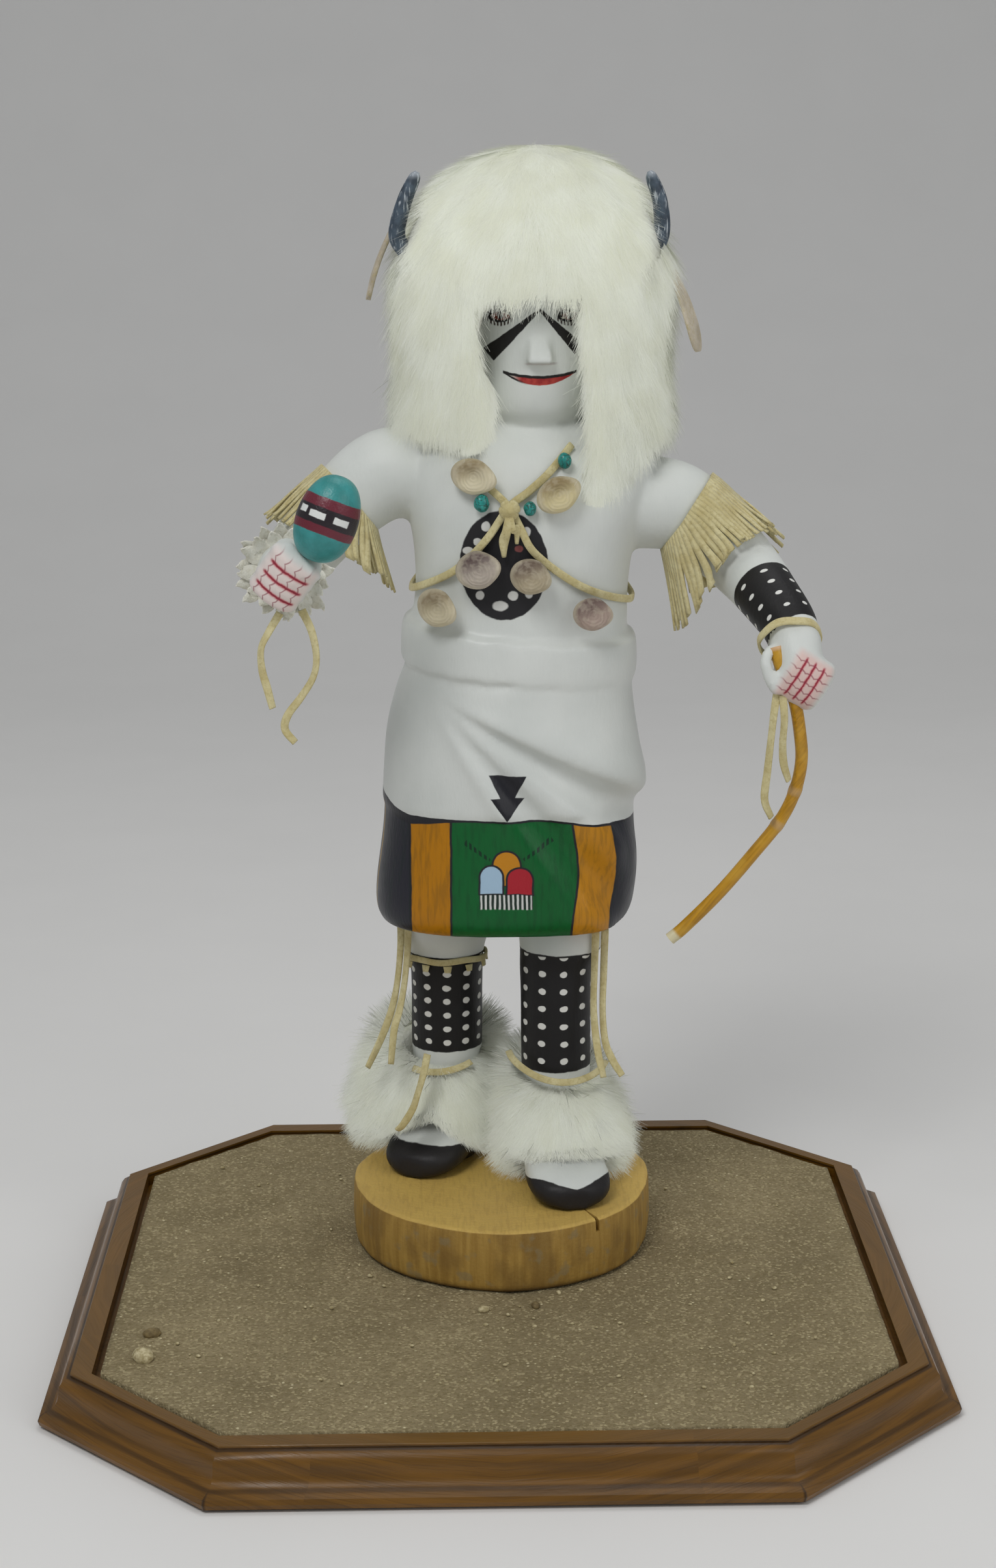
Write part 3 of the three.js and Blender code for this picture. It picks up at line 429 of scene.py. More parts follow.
sand = {"half": 145.0, "cut": 48.6, "top": 19.0, "low": 14.0, "rough": 0.55, "cells": 150}
pebbles = [
    (-130.8, -85.1, 4.2, 0), (-129.6, -65.3, 3.0, 1), (-5.5, -46.9, 1.9, 0), (23.7, -31.8, 1.1, 0),
    (14.4, -43.8, 1.8, 1),
]


def sandLoose():
    # Fine grains of several browns with pale specks, matt and grainy
    s = Surface("sand_loose")
    place = s.local()
    drift = s.mottle(place, 38.0, 4.0)
    grain = s.add("TexVoronoi", output=None, named={"Vector": place, "Scale": 1 / 0.95})
    tint = s.add("SeparateXYZ", grain[1], output=None)
    colour = s.coat(tone("#9d8f6e"), s.step(drift, 0.5, 0.25), tone("#877a5c"))
    colour = s.coat(colour, s.step(tint[0], 0.62, 0.35), tone("#756847"), 0.5)
    colour = s.coat(colour, s.step(tint[1], 0.85, 0.1), tone("#bfb18b"), 0.6)
    speck = s.add("TexVoronoi", output=None, named={"Vector": place, "Scale": 1 / 3.4})
    pale = s.both(s.below(speck[0], 0.15, 0.05), s.step(s.add("SeparateXYZ", speck[1]), 0.86, 0.05))
    colour = s.coat(colour, pale, tone("#d8cda8"))
    height = s.add("MULTIPLY_ADD", s.mottle(place, 2.4, 3.0), 0.8, s.add("MULTIPLY", grain[0], -0.7))
    return s.finish(colour, 0.95, height, 0.6, Specular_IOR_Level=0.2)


def pebbleRounded(name, light, dark):
    # Small worn stones
    s = Surface(name)
    colour = s.clouded(light, dark, s.local(), 1.6, 4.0, 0.2)
    return s.finish(colour, 0.8, s.mottle(s.local(), 0.8), 0.3)


def makeSand():
    bm = bmesh.new()
    bmesh.ops.create_grid(bm, x_segments=sand["cells"], y_segments=sand["cells"], size=sand["half"] * mm)
    corner = (sand["half"] - sand["cut"] / 2) * mm
    for sx, sy in ((1, 1), (1, -1), (-1, 1), (-1, -1)):
        everything = [*bm.verts, *bm.edges, *bm.faces]
        away = (sx * corner, sy * corner, 0)
        bmesh.ops.bisect_plane(bm, geom=everything, plane_co=away, plane_no=(sx, sy, 0), clear_outer=True)
    for vert in bm.verts:
        rise = noise.fractal(vert.co / (14 * mm), 1.0, 2.0, 5)
        vert.co.z = (sand["top"] - 0.35 + min(sand["rough"] * rise, 0.35)) * mm
    rim = [edge for edge in bm.edges if edge.is_boundary]
    lowered = bmesh.ops.extrude_edge_only(bm, edges=rim)["geom"]
    for item in lowered:
        if isinstance(item, bmesh.types.BMVert):
            item.co.z = sand["low"] * mm
    closeHoles(bm)
    loose = [(x, y, size, kind, 2) for x, y, size, kind in pebbles]
    spots = chance.uniform(-120, 120, (130, 2))
    loose += [(x, y, chance.uniform(0.4, 1.0), 0, 1) for x, y in spots
              if math.hypot(x - 3.6, y - 30) > 64 and abs(x) + abs(y) < 225]
    for x, y, size, kind, detail in loose:
        turn = Matrix.Rotation(chance.uniform(0, fullTurn), 4, "Z")
        shape = Matrix.Diagonal((1.25, 0.9, 0.7, 1))
        put = Matrix.Translation(Vector((x, y, sand["top"] + size * 0.2)) * mm) @ turn @ shape
        stone = bmesh.ops.create_icosphere(bm, subdivisions=detail, radius=size * mm, matrix=put)["verts"]
        for vert in stone:
            vert.co += Vector(noise.noise_vector(vert.co / (2.6 * mm))) * size * 0.16 * mm
        for face in {face for vert in stone for face in vert.link_faces}:
            face.material_index = 1 + kind
    surfaces = [
        sandLoose(),
        pebbleRounded("pebble_pale", "#d9cda6", "#a3946a"),
        pebbleRounded("pebble_dark", "#8a7850", "#6b5b3b"),
    ]
    return addPiece("sand_grains", bm, surfaces, ["sand_bed"])


makeSand()
print("sand made")


# Log slice: sawn top with faint rings, peeled side, one drying crack

log = {
    "x": 3.6,
    "y": 30.0,
    "radius": 60.4,
    "low": 19.35,
    "top": 44.0,
    "sides": 180,
    "rings": 48,
    "waves": [(0.016, 2, 0.4), (0.012, 3, -1.1), (0.006, 7, 0.0)],
    "crack": {"x": 39.5, "y": -19.5, "turn": 0.42, "width": 2.4, "length": 17.0, "depth": 5.0},
}


def logSawn():
    # Tan sawn end with growth rings and cross saw marks; browner side with upright fibres and stains
    s = Surface("log_sawn_and_peeled")
    place = s.local((log["x"] - 9, log["y"] + 12, 0))
    x, y, z = s.add("SeparateXYZ", s.wobbled(place, 24.0, 2.4), output=None)
    away = s.add("SQRT", s.squares(x, y))
    ring = s.add("SINE", s.add("MULTIPLY", away, 2.6))
    fine = s.mottle(place, 1.3, 3.0, (1.0, 0.12, 1.0))
    sawn = s.coat(tone("#d2b05c"), s.step(ring, 0.1, 0.8), tone("#b98f40"), 0.08)
    sawn = s.coat(sawn, s.step(s.mottle(place, 26.0, 3.0), 0.52, 0.16), tone("#bd9a52"), 0.4)
    sawn = s.coat(sawn, s.step(fine, 0.56, 0.1), tone("#94703a"), 0.2)
    fibre = s.mottle(place, 2.1, 5.0, (1.0, 1.0, 0.05))
    stain = s.mottle(place, 13.0, 4.0, (1.0, 1.0, 0.5))
    peeled = s.coat(tone("#b79348"), s.step(fibre, 0.5, 0.2), tone("#a07c36"))
    peeled = s.coat(peeled, s.step(stain, 0.56, 0.1), tone("#7a5c2a"), 0.6)
    grey = s.step(s.mottle(place, 7.0, 3.0), 0.62, 0.06)
    peeled = s.coat(peeled, grey, tone("#8f7f5c"), 0.6)
    level = s.add("SeparateXYZ", place, output=2)
    colour = s.coat(peeled, s.step(level, log["top"] - 0.7, 0.25), sawn)
    # Painted shade: the foot of the side darkens where the log stands in the sand
    colour = s.coat(colour, s.add("SUBTRACT", 0.6, s.step(level, log["low"] + 1.6, 1.4)), tone("#4a3218"))
    height = s.add("MULTIPLY_ADD", fibre, 0.7, s.add("MULTIPLY", fine, 0.3))
    return s.finish(colour, 0.62, height, 0.5)


def makeLog():
    low, top = log["low"], log["top"]
    rows = [
        (low, -1.4), (low + 1.2, -0.3), (low + 3, 0), (low + 9, 0.5), (34, 0.4),
        (top - 2.4, 0.1), (top - 0.7, -0.2), (top, -1.1),
    ]
    sideRows = len(rows) - 1

    def place(across, along):
        angle = across * fullTurn
        uneven = 0.0025 * np.cos(23 * angle) * np.cos(5 * angle)
        for share, times, shift in log["waves"]:
            uneven = uneven + share * np.cos(times * angle + shift)
        outline = log["radius"] * (1 + uneven)
        row = np.rint(along * (sideRows + log["rings"])).astype(int)
        height, swell = np.array(rows, float)[np.minimum(row, sideRows)].T
        inward = 1 - np.maximum(row - sideRows, 0) / log["rings"]
        radius = (outline + swell) * inward
        x, y = log["x"] + radius * np.sin(angle), log["y"] - radius * np.cos(angle)
        sawMarks = 0.04 * np.sin(radius * 0.9) * (inward < 1)
        return np.stack([x, y, height + sawMarks], -1)

    bm = bmesh.new()
    gridSkin(bm, log["sides"], sideRows + log["rings"], place)
    sawn = toObject("log_raw", bm)
    crack = log["crack"]
    wedge = bmesh.new()
    bmesh.ops.create_cone(wedge, cap_ends=True, segments=3, radius1=1, radius2=1, depth=1)
    size = Vector((crack["width"] / 1.732, crack["length"], crack["depth"] * 2)) * mm
    bmesh.ops.scale(wedge, vec=size, verts=wedge.verts)
    spot = Vector((crack["x"], crack["y"], log["top"])) * mm
    bmesh.ops.rotate(wedge, matrix=Matrix.Rotation(crack["turn"], 3, "Z"), verts=wedge.verts)
    bmesh.ops.translate(wedge, vec=spot, verts=wedge.verts)
    cutter = toObject("crack_wedge", wedge)
    cut = sawn.modifiers.new("crack", "BOOLEAN")
    cut.object = cutter
    cut.operation = "DIFFERENCE"
    bm = settled(sawn)
    bpy.data.objects.remove(cutter)
    return addPiece("log_wood", bm, [logSawn()], ["log_slice"], sharp=40)


makeLog()
print("log made")


# The doll, carved as one and painted

doll = {
    "trunk": [
        (152, 5.0, 39, 48.6, 38.0, 2.5), (157, 5.0, 39, 50.8, 40.8, 2.5),
        (166, 5.3, 39, 51.2, 41.2, 2.5), (190, 6.8, 39, 49.6, 40.6, 2.45),
        (212, 7.4, 39, 48.9, 39.4, 2.4), (230, 7.6, 39, 47.4, 38.0, 2.3),
        (245, 8.8, 39, 44.7, 36.6, 2.3), (256, 10.6, 39, 42.6, 35.6, 2.3),
        (270, 11.2, 39, 41.9, 35.0, 2.3), (285, 12.2, 39, 41.2, 35.2, 2.3),
        (300, 13.0, 39, 42.5, 35.8, 2.3), (316, 14.2, 39, 46.0, 35.0, 2.3),
        (331, 15.4, 39.5, 48.0, 31.0, 2.2), (342, 16.0, 40, 43.0, 26.0, 2.1),
        (348, 16.3, 40, 32.0, 22.0, 2.0), (353, 16.5, 40, 20.0, 18.0, 2.0),
    ],
    "sash": {"low": 253.0, "high": 269.5, "relief": 3.3, "tilt": 0.085},
    "drape": {"low": 199.8, "relief": 0.9},
    "foldX": -26.0,
    "foldZ": 249.0,
    "folds": [
        (0, 0.8), (10, 1.0), (18, 1.6), (24, 2.3), (27.5, 2.0), (31, -0.7), (35, -0.5), (40, 1.0), (44, 0.8),
        (49, -0.7), (53, -0.1), (57.5, 1.3), (63, 0.4), (70, 0), (90, 0), (180, 0),
    ],
    "head": [
        (344, 16.6, 42, 17, 17, 2.0), (350, 16.7, 39.5, 21, 24.5, 2.2), (356, 16.8, 38.8, 24, 27.5, 2.3),
        (370, 16.9, 38.5, 26, 28.5, 2.4), (390, 17.0, 39, 27, 28.5, 2.4), (410, 17.2, 40, 27, 28, 2.3),
        (425, 17.3, 41, 22, 23, 2.1), (434, 17.3, 41, 10, 11, 2.0),
    ],
    "nose": {"x": 18.4, "top": 392.0, "low": 371.5, "width": 13.0, "reach": 6.6},
    "legRight": [
        (44.4, -18.6, 53.5, 11.5), (70, -18.6, 53.5, 12.6), (93, -18.6, 53, 14.3),
        (121, -18.4, 52, 14.5), (134, -18.6, 51, 15.4), (142, -19.2, 50, 18.0), (158, -19.2, 48, 19.0),
    ],
    "legLeft": [(44.4, 24.9, 25, 11.5), (70, 24.9, 25, 12.4), (93, 24.9, 26, 13.8), (121, 24.9, 27, 14.0),
                (133, 25.2, 28, 14.6), (142, 27.0, 29, 16.4), (158, 26.4, 32, 17.6)],
    "footLow": 44.35,
    "footBack": 15.0,
    "foot": [
        (0, 7, 13), (0.12, 11, 21), (0.35, 13.6, 24), (0.6, 16.2, 18), (0.82, 15.6, 13),
        (0.95, 11.5, 10.4), (1, 6, 8.5),
    ],
    "feet": [((-18.6, 53.5), -29.0, 32.0, 0.0, 12.4), ((24.9, 25.0), 11.0, 37.0, 0.22, 8.6)],
    "armRight": [(-24, 40, 326, 17), (-40, 40, 327, 17.5), (-58, 37, 314, 15.2), (-74, 33, 297, 13.6),
                 (-79, 14, 295, 12.4), (-76.5, -12, 298, 10.8), (-75, -28, 300, 10)],
    "armLeft": [(54, 40, 316, 18), (72, 40, 313.6, 17.4), (87.5, 37, 301.8, 14.8), (99, 31, 290.5, 13.2),
                (105, 14, 283.5, 11.8), (111.5, 0, 274.5, 10.6), (113.5, -9, 267, 9.6), (114, -13, 261, 9)],
    "fistRight": {
        "centre": (-74.8, -37, 300.2),
        "stick": (15.8, -8, 21.6),
        "facing": (0.06, -1, 0.1),
        "spread": 10.2,
        "half": 11.2,
        "pitch": 5.1,
        "finger": 2.9,
        "thumb": [(-6, 1, 9.7), (1, 5.5, 10.2), (7, 6, 8.2)],
        "joints": (-6.6, -2.2, 2.2, 6.4),
        "tint": "#efdcd6",
    },
    "fistLeft": {
        "centre": (115.4, -15.5, 256.8),
        "stick": (-0.85, 0, 0.53),
        "facing": (0.1, -1, -0.15),
        "spread": 10.6,
        "half": 9.8,
        "pitch": 3.8,
        "finger": 2.1,
        "thumb": [(2.8, -3, 15.4), (-1.0, 3, 16.2), (-5.5, 5, 12.0), (-9.0, 5.5, 5.6)],
        "joints": (-6.6, -3.3, 0.0, 3.3, 6.6),
        "tint": "#e2bdb4",
    },
    "voxel": 1.32,
}


def trunkSkin(across, along):
    # Hem band, draped kilt with folds fanning from the right hip, raised sash, chest and shoulders
    sash, drape = doll["sash"], doll["drape"]
    angle = across * fullTurn
    height = doll["trunk"][0][0] + (doll["trunk"][-1][0] - doll["trunk"][0][0]) * along
    x, y, z = onColumn(doll["trunk"], angle, height).T
    level = z + sash["tilt"] * (x - 10) + 0.05 * np.maximum(39 - y, 0)
    underSash = 1 - smooth(sash["low"] - 0.4, sash["low"] + 0.4, level)
    onSash = (1 - underSash) * smooth(sash["high"] + 0.5, sash["high"] - 0.3, level)
    onDrape = underSash * smooth(drape["low"] - 0.4, drape["low"] + 0.4, z)
    fan = np.degrees(np.arctan2(doll["foldZ"] - z, x - doll["foldX"]))
    away = np.hypot(x - doll["foldX"], z - doll["foldZ"])
    strength = smooth(45, 17, y) * (smooth(4, 40, away) + 0.5 * smooth(40, 85, away))
    folds = strength * follow(doll["folds"], np.clip(fan, 0, 180))[:, 0] * (fan > 0)
    atLeftFront = smooth(31, 37, x) * smooth(52, 46, x) * smooth(30, 20, y)
    ripple = np.sin((z - 158) / 5.6 + 0.2 * x) * atLeftFront * (1 - onDrape)
    crown = 1 - ((level - 261.2) / 8.4) ** 2
    lift = onSash * (sash["relief"] + 0.5 * crown) + drape["relief"] * onDrape
    lift = lift + underSash * ((1.1 + 0.6 * onDrape) * folds + 1.3 * ripple)
    return onColumn(doll["trunk"], angle, height, lift)


def columnSkin(rows):
    low, high = rows[0][0], rows[-1][0]
    return lambda across, along: onColumn(rows, across * fullTurn, low + (high - low) * along)


def footSkin(ankle, turn, front):
    heading = math.radians(turn)
    ahead = np.array((math.sin(heading), -math.cos(heading), 0))
    aside = np.array((math.cos(heading), math.sin(heading), 0))

    def place(across, along):
        angle = across * fullTurn
        width, tall = follow(doll["foot"], along).T
        rise = (bend(-np.cos(angle), 0.75) * 0.5 + 0.5) * tall
        reach = -doll["footBack"] + (doll["footBack"] + front) * along
        spot = np.array((*ankle, doll["footLow"])) + np.outer(rise, (0, 0, 1))
        return spot + np.outer(reach, ahead) + np.outer(bend(np.sin(angle), 0.75) * width, aside)
    return place


def addFist(bm, fist):
    # Closed hand round a stick: palm, four fingers side by side along the stick, thumb
    centre, spread, pitch = np.array(fist["centre"], float), fist["spread"], fist["pitch"]
    up = unit(np.array(fist["stick"], float))
    ahead = np.array(fist["facing"], float)
    ahead = unit(ahead - ahead.dot(up) * up)
    aside = np.cross(up, ahead)
    palmRows = [(-1, 0.62), (-0.92, 0.85), (-0.8, 0.95), (0.8, 0.95), (0.92, 0.85), (1, 0.62)]

    def palm(across, along):
        level, share = np.array(palmRows)[np.rint(along * 5).astype(int)].T
        angle = across * fullTurn
        spot = centre + np.outer(level * fist["half"], up)
        spot = spot + np.outer(spread * share * bend(np.sin(angle), 0.8), aside)
        return spot + np.outer(8.2 * share * bend(np.cos(angle), 0.8) - 1.2, ahead)

    gridSkin(bm, 40, 5, palm)
    for k in range(4):
        size = fist["finger"] * (0.88 if k == 0 else 1)
        middle = centre + up * (k - 1.5) * pitch
        wide, deep = aside * (spread - 1.6), ahead * 6.4
        swings = [math.pi * (0.06 + 0.88 * s / 6) for s in range(7)]
        arc = [(*(middle + wide * math.cos(a) + deep * math.sin(a)), size) for a in swings]
        gridSkin(bm, 18, 20, limb(arc, tuple(up)))
    thumb = [(*(centre + aside * s + ahead * a + up * u), fist["finger"] * 1.05) for s, a, u in fist["thumb"]]
    gridSkin(bm, 18, 18, limb(thumb, tuple(ahead)))


def whitePaint(name):
    # Cool white paint brushed over smooth wood: faint clouds, fine brush lines, satin
    s = Surface(name)
    place = s.local()
    colour = s.clouded("#d3d7d3", "#e0e3df", place, 30.0, 3.0, 0.3)
    return s, place, colour


def painted(s, place, colour, matt=0.38):
    lines = s.mottle(place, 1.1, 3.0, (1.0, 1.0, 0.25))
    rough = s.add("MULTIPLY_ADD", s.mottle(place, 9.0, 2.0), 0.2, matt)
    return s.finish(colour, rough, lines, 0.12, Specular_IOR_Level=0.28)


def paintPlain():
    return painted(*whitePaint("white_paint_brushed"))


face = {
    "eyes": ((3.6, 389.0), (29.6, 389.0)),
    "lashPitch": 1.25,
    "chevronTop": (18.5, 391.2),
    "chevronEnds": (((-0.6, 374.6), 6.0), ((33.4, 376.2), 5.0)),
    "mouth": {"x": 18.6, "z": 368.3, "half": 13.8, "upper": 1.9, "lower": 5.0},
    "noseShade": {"x": (13.0, 24.6), "z": (371.0, 371.9)},
}


def paintFace():
    # Black chevron over the nose, lashed eyes, a red mouth with a black upper line, painted shade under the
    # nose
    s, place, colour = whitePaint("face_paint_brushed")
    x, y, z = s.add("SeparateXYZ", s.wobbled(place, 2.2, 0.22), output=None)
    black = tone("#211f1f")
    for eye in face["eyes"]:
        lashes = s.step(s.add("ABSOLUTE", s.repeat(x, face["lashPitch"], eye[0])), 0.3, 0.15)
        colour = s.coat(colour, s.both(lashes, s.dab(x, z, eye, (5.3, 3.9))), tone("#3a2c2a"))
        colour = s.coat(colour, s.dab(x, z, eye, (4.7, 2.5)), black)
        colour = s.coat(colour, s.dab(x, z, (eye[0] + 0.5, eye[1] - 0.2), (3.3, 1.5)), tone("#6d3328"))
        flecks = s.both(s.dab(x, z, eye, (3.6, 1.8)), s.step(s.mottle(place, 0.8), 0.57, 0.04))
        colour = s.coat(colour, flecks, tone("#d9d4c8"))
        colour = s.coat(colour, s.dab(x, z, (eye[0] + 0.3, eye[1]), (1.1, 1.4)), black)
    for end, wide in face["chevronEnds"]:
        colour = s.coat(colour, s.stroke(x, z, face["chevronTop"], end, (0.9, wide)), black)
    mouth, noseShade = face["mouth"], face["noseShade"]
    across = s.add("MULTIPLY_ADD", x, 1 / mouth["half"], -mouth["x"] / mouth["half"])
    sag = s.add("SUBTRACT", 1.0, s.add("MULTIPLY", across, across))
    level = s.add("SUBTRACT", z, mouth["z"])
    upper = s.add("MULTIPLY_ADD", sag, mouth["upper"], level)
    lower = s.add("MULTIPLY_ADD", sag, mouth["lower"], level)
    within = s.step(sag, 0.0, 0.03)
    red = s.clouded("#b8443c", "#96282a", place, 2.5, 2.0, 0.2)
    red = s.coat(tone("#c9c4bc"), s.step(x, 9.5, 2.5), red)
    colour = s.coat(colour, s.both(within, s.step(lower, 0.0), s.below(upper, 0.0)), red)
    colour = s.coat(colour, s.both(within, s.band(upper, -0.55, 0.5)), black)
    corner = s.both(within, s.band(lower, -0.3, 0.5), s.below(x, 12.0, 3.0))
    colour = s.coat(colour, corner, black)
    # Painted shade: a dark line along the underside of the nose
    shade = s.both(s.band(z, *noseShade["z"]), s.band(x, *noseShade["x"], 1.0))
    return painted(s, place, s.coat(colour, shade, tone("#8d6f6c"), 0.35))


chest = {
    "oval": ((4.6, 296.8), (16.6, 20.8)),
    "blots": [
        (-2.1, 311.6, 1.6, 1.9), (13.2, 309.6, 1.6, 1.9), (-8.7, 302.1, 2.2, 1.5), (-5.2, 305.6, 1.6, 1.4),
        (-4.4, 285.3, 1.6, 1.7), (3.2, 281.4, 2.9, 1.9), (8.0, 285.4, 1.9, 1.8), (14.0, 286.2, 1.5, 1.9),
    ],
    "redBlot": ((10.2, 303.2), (1.5, 1.2)),
}


def paintChest():
    # Black oval on the chest with pale blots and a red one
    s, place, colour = whitePaint("chest_paint_brushed")
    x, y, z = s.add("SeparateXYZ", s.wobbled(place, 3.2, 0.45), output=None)
    colour = s.coat(colour, s.dab(x, z, *chest["oval"], 0.03), tone("#28272a"))
    for bx, bz, wide, tall in chest["blots"]:
        colour = s.coat(colour, s.dab(x, z, (bx, bz), (wide, tall), 0.3), tone("#dcdcd8"))
    colour = s.coat(colour, s.dab(x, z, *chest["redBlot"], 0.4), tone("#9c5a58"))
    return painted(s, place, colour)


kilt = {
    "edge": 199.4,
    "stripes": [(-31.8, "#b97a06"), (-16.0, "#06602b"), (31.6, "#c4861a"), (47.0, "#2a2a33")],
    "cloud": [
        ((5.0, 182.2), 5.0, 174, "#c9871c"), ((-0.9, 177.2), 4.2, 170.8, "#a9c6dd"),
        ((10.0, 176.0), 4.7, 170.4, "#b02230"),
    ],
    "rain": {"x": (-5.2, 14.6), "z": (164.4, 170.2), "pitch": 1.75},
    "rainGround": {"x": (-5.6, 15.0), "z": (164.6, 170.6)},
    "beadLines": [((11.5, 184.4), (22.6, 191.8)), ((-1.5, 183.9), (-11.0, 190.8))],
    "triangles": [(202.2, 217.0, 0.48), (199.4, 208.3, 0.74)],
}


def paintKilt():
    # White drape above, painted band below: black, gold and green stripes, a rain cloud, stepped triangles
    s, place, colour = whitePaint("kilt_paint_brushed")
    x, y, z = s.add("SeparateXYZ", s.wobbled(place, 6.0, 0.4), output=None)
    black = tone("#232329")
    streak = s.mottle(place, 1.6, 3.0, (1.0, 1.0, 0.12))
    band = tone("#2a2a33")
    wave = s.add("MULTIPLY_ADD", s.add("SINE", s.add("MULTIPLY_ADD", z, 0.13, 0.4)), 1.3, x)
    for i, (edge, code) in enumerate(kilt["stripes"]):
        line = wave if i > 1 else x
        band = s.coat(band, s.step(line, edge - 0.7), black)
        band = s.coat(band, s.step(line, edge + 0.2), tone(code))
    front = s.below(y, 30.0, 1.0)
    gold = s.both(s.band(y, 29.5, 31.5, 0.3), s.below(x, -30.0))
    band = s.coat(band, gold, tone("#b08a2e"))
    band = s.coat(band, s.step(streak, 0.55, 0.12), tone("#0e2a1c"), 0.25)
    for centre, radius, low, code in kilt["cloud"]:
        band = s.coat(band, s.both(front, s.arch(x, z, centre, radius + 0.8, low - 0.5)), black)
        band = s.coat(band, s.both(front, s.arch(x, z, centre, radius, low)), tone(code))
    rain, ground = kilt["rain"], kilt["rainGround"]
    band = s.coat(band, s.both(front, s.band(x, *ground["x"]), s.band(z, *ground["z"])), black, 0.85)
    drops = s.step(s.repeat(x, rain["pitch"]), 0.1, 0.15)
    drops = s.both(front, s.band(x, *rain["x"]), s.band(z, *rain["z"]), drops)
    band = s.coat(band, drops, tone("#d6d8d4"))
    for start, end in kilt["beadLines"]:
        beads = s.step(s.add("SINE", s.add("MULTIPLY", x, 3.4)), -0.2, 0.3)
        band = s.coat(band, s.both(front, beads, s.stroke(x, z, start, end, (1.2, 2.2))), tone("#0d3320"))
    beyondHip = s.add("MAXIMUM", s.add("MULTIPLY_ADD", x, -1 / 9, -31 / 9), 0.0)
    rise = s.add("MULTIPLY", s.add("POWER", beyondHip, 2.0), 3.4)
    fall = s.add("MULTIPLY", s.add("MAXIMUM", s.add("SUBTRACT", x, 22.0), 0.0), -0.16)
    over = s.add("SUBTRACT", z, s.add("ADD", kilt["edge"], s.add("ADD", rise, fall)))
    thick = s.add("MULTIPLY_ADD", s.step(s.add("MULTIPLY", x, -1.0), 24.0, 14.0), 3.0, 0.9)
    outline = s.step(s.add("ADD", over, thick), 0.0)
    below = s.coat(band, outline, black)
    for tip, top, spread in kilt["triangles"]:
        side = s.add("ABSOLUTE", s.add("SUBTRACT", x, s.add("MULTIPLY_ADD", z, 0.02, 1.3)))
        slope = s.add("MULTIPLY_ADD", z, spread, -tip * spread)
        triangle = s.both(front, s.step(s.add("SUBTRACT", slope, side), 0.0), s.below(z, top))
        colour = s.coat(colour, triangle, black)
    return painted(s, place, s.coat(below, s.step(over, 0.0, 0.15), colour), 0.24)


def dotted(s, colour, place, along, radius, rows, columns, dot, span):
    # Black sleeve with rows of white dots: along it, round it, and the stretch that it covers
    x, y, _ = s.add("SeparateXYZ", place, output=None)
    turn = s.add("ARCTAN2", x, s.add("MULTIPLY", y, -1.0))
    colour = s.coat(colour, s.band(along, *span, 0.25), tone("#1e1d1e"))
    up = s.repeat(along, rows[1], rows[0])
    aside = s.repeat(s.add("MULTIPLY", turn, radius), columns[1], columns[0])
    spot = s.dab(aside, up, (0, 0), dot, 0.25)
    inner = s.band(along, span[0] + 1.2, span[1] - 0.8, 0.2)
    return s.coat(colour, s.both(spot, inner), tone("#e4e4df"))


def paintLegging(name, axis, rows, columns, span):
    s, place, colour = whitePaint(name)
    local = s.wobbled(s.local((*axis, 0)), 4.0, 0.55)
    up = s.add("SeparateXYZ", local, output=2)
    return painted(s, place, dotted(s, colour, local, up, 14.4, rows, columns, (1.65, 1.25), span))


forearm = {
    "elbow": (103.5, 20, 286),
    "axis": (-8.5, 20, 11),
    "front": (0, -0.5, 1),
    "radius": 11.4,
    "rows": (6.0, 6.3),
    "columns": (6.4, 9.2),
    "dot": (1.45, 0.8),
    "span": (2.0, 31.0),
}


def paintForearm():
    # Black dotted sleeve on the left forearm
    s, place, colour = whitePaint("forearm_paint_brushed")
    local = s.wobbled(s.local(forearm["elbow"], forearm["axis"], forearm["front"]), 4.0, 0.4)
    down = s.add("MULTIPLY", s.add("SeparateXYZ", local, output=2), -1.0)
    layout = [forearm[key] for key in ("radius", "rows", "columns", "dot", "span")]
    return painted(s, place, dotted(s, colour, local, down, *layout))


def paintFoot(name, ankle, turn, front, peak, base):
    # White moccasin with a black sole band, which dips to a point at the left toe
    s, place, colour = whitePaint(name)
    heading = math.radians(turn)
    ahead = (math.sin(heading), -math.cos(heading), 0)
    local = s.wobbled(s.local((*ankle, doll["footLow"]), (0, 0, 1), ahead), 5.0, 0.4)
    x, y, z = s.add("SeparateXYZ", local, output=None)
    toe = s.step(s.add("MULTIPLY", y, -1.0), front - 12, 10.0)
    edge = s.add("MULTIPLY_ADD", s.add("ABSOLUTE", x), s.add("MULTIPLY", toe, peak), base)
    return painted(s, place, s.coat(tone("#262425"), s.step(s.add("SUBTRACT", z, edge), 0.0), colour))


fingerLines = [(0.16, 0.1, 0.7, "#d77f86"), (0.1, 0.05, 0.9, "#b02a40"), (0.03, 0.028, 0.7, "#5a1a26")]


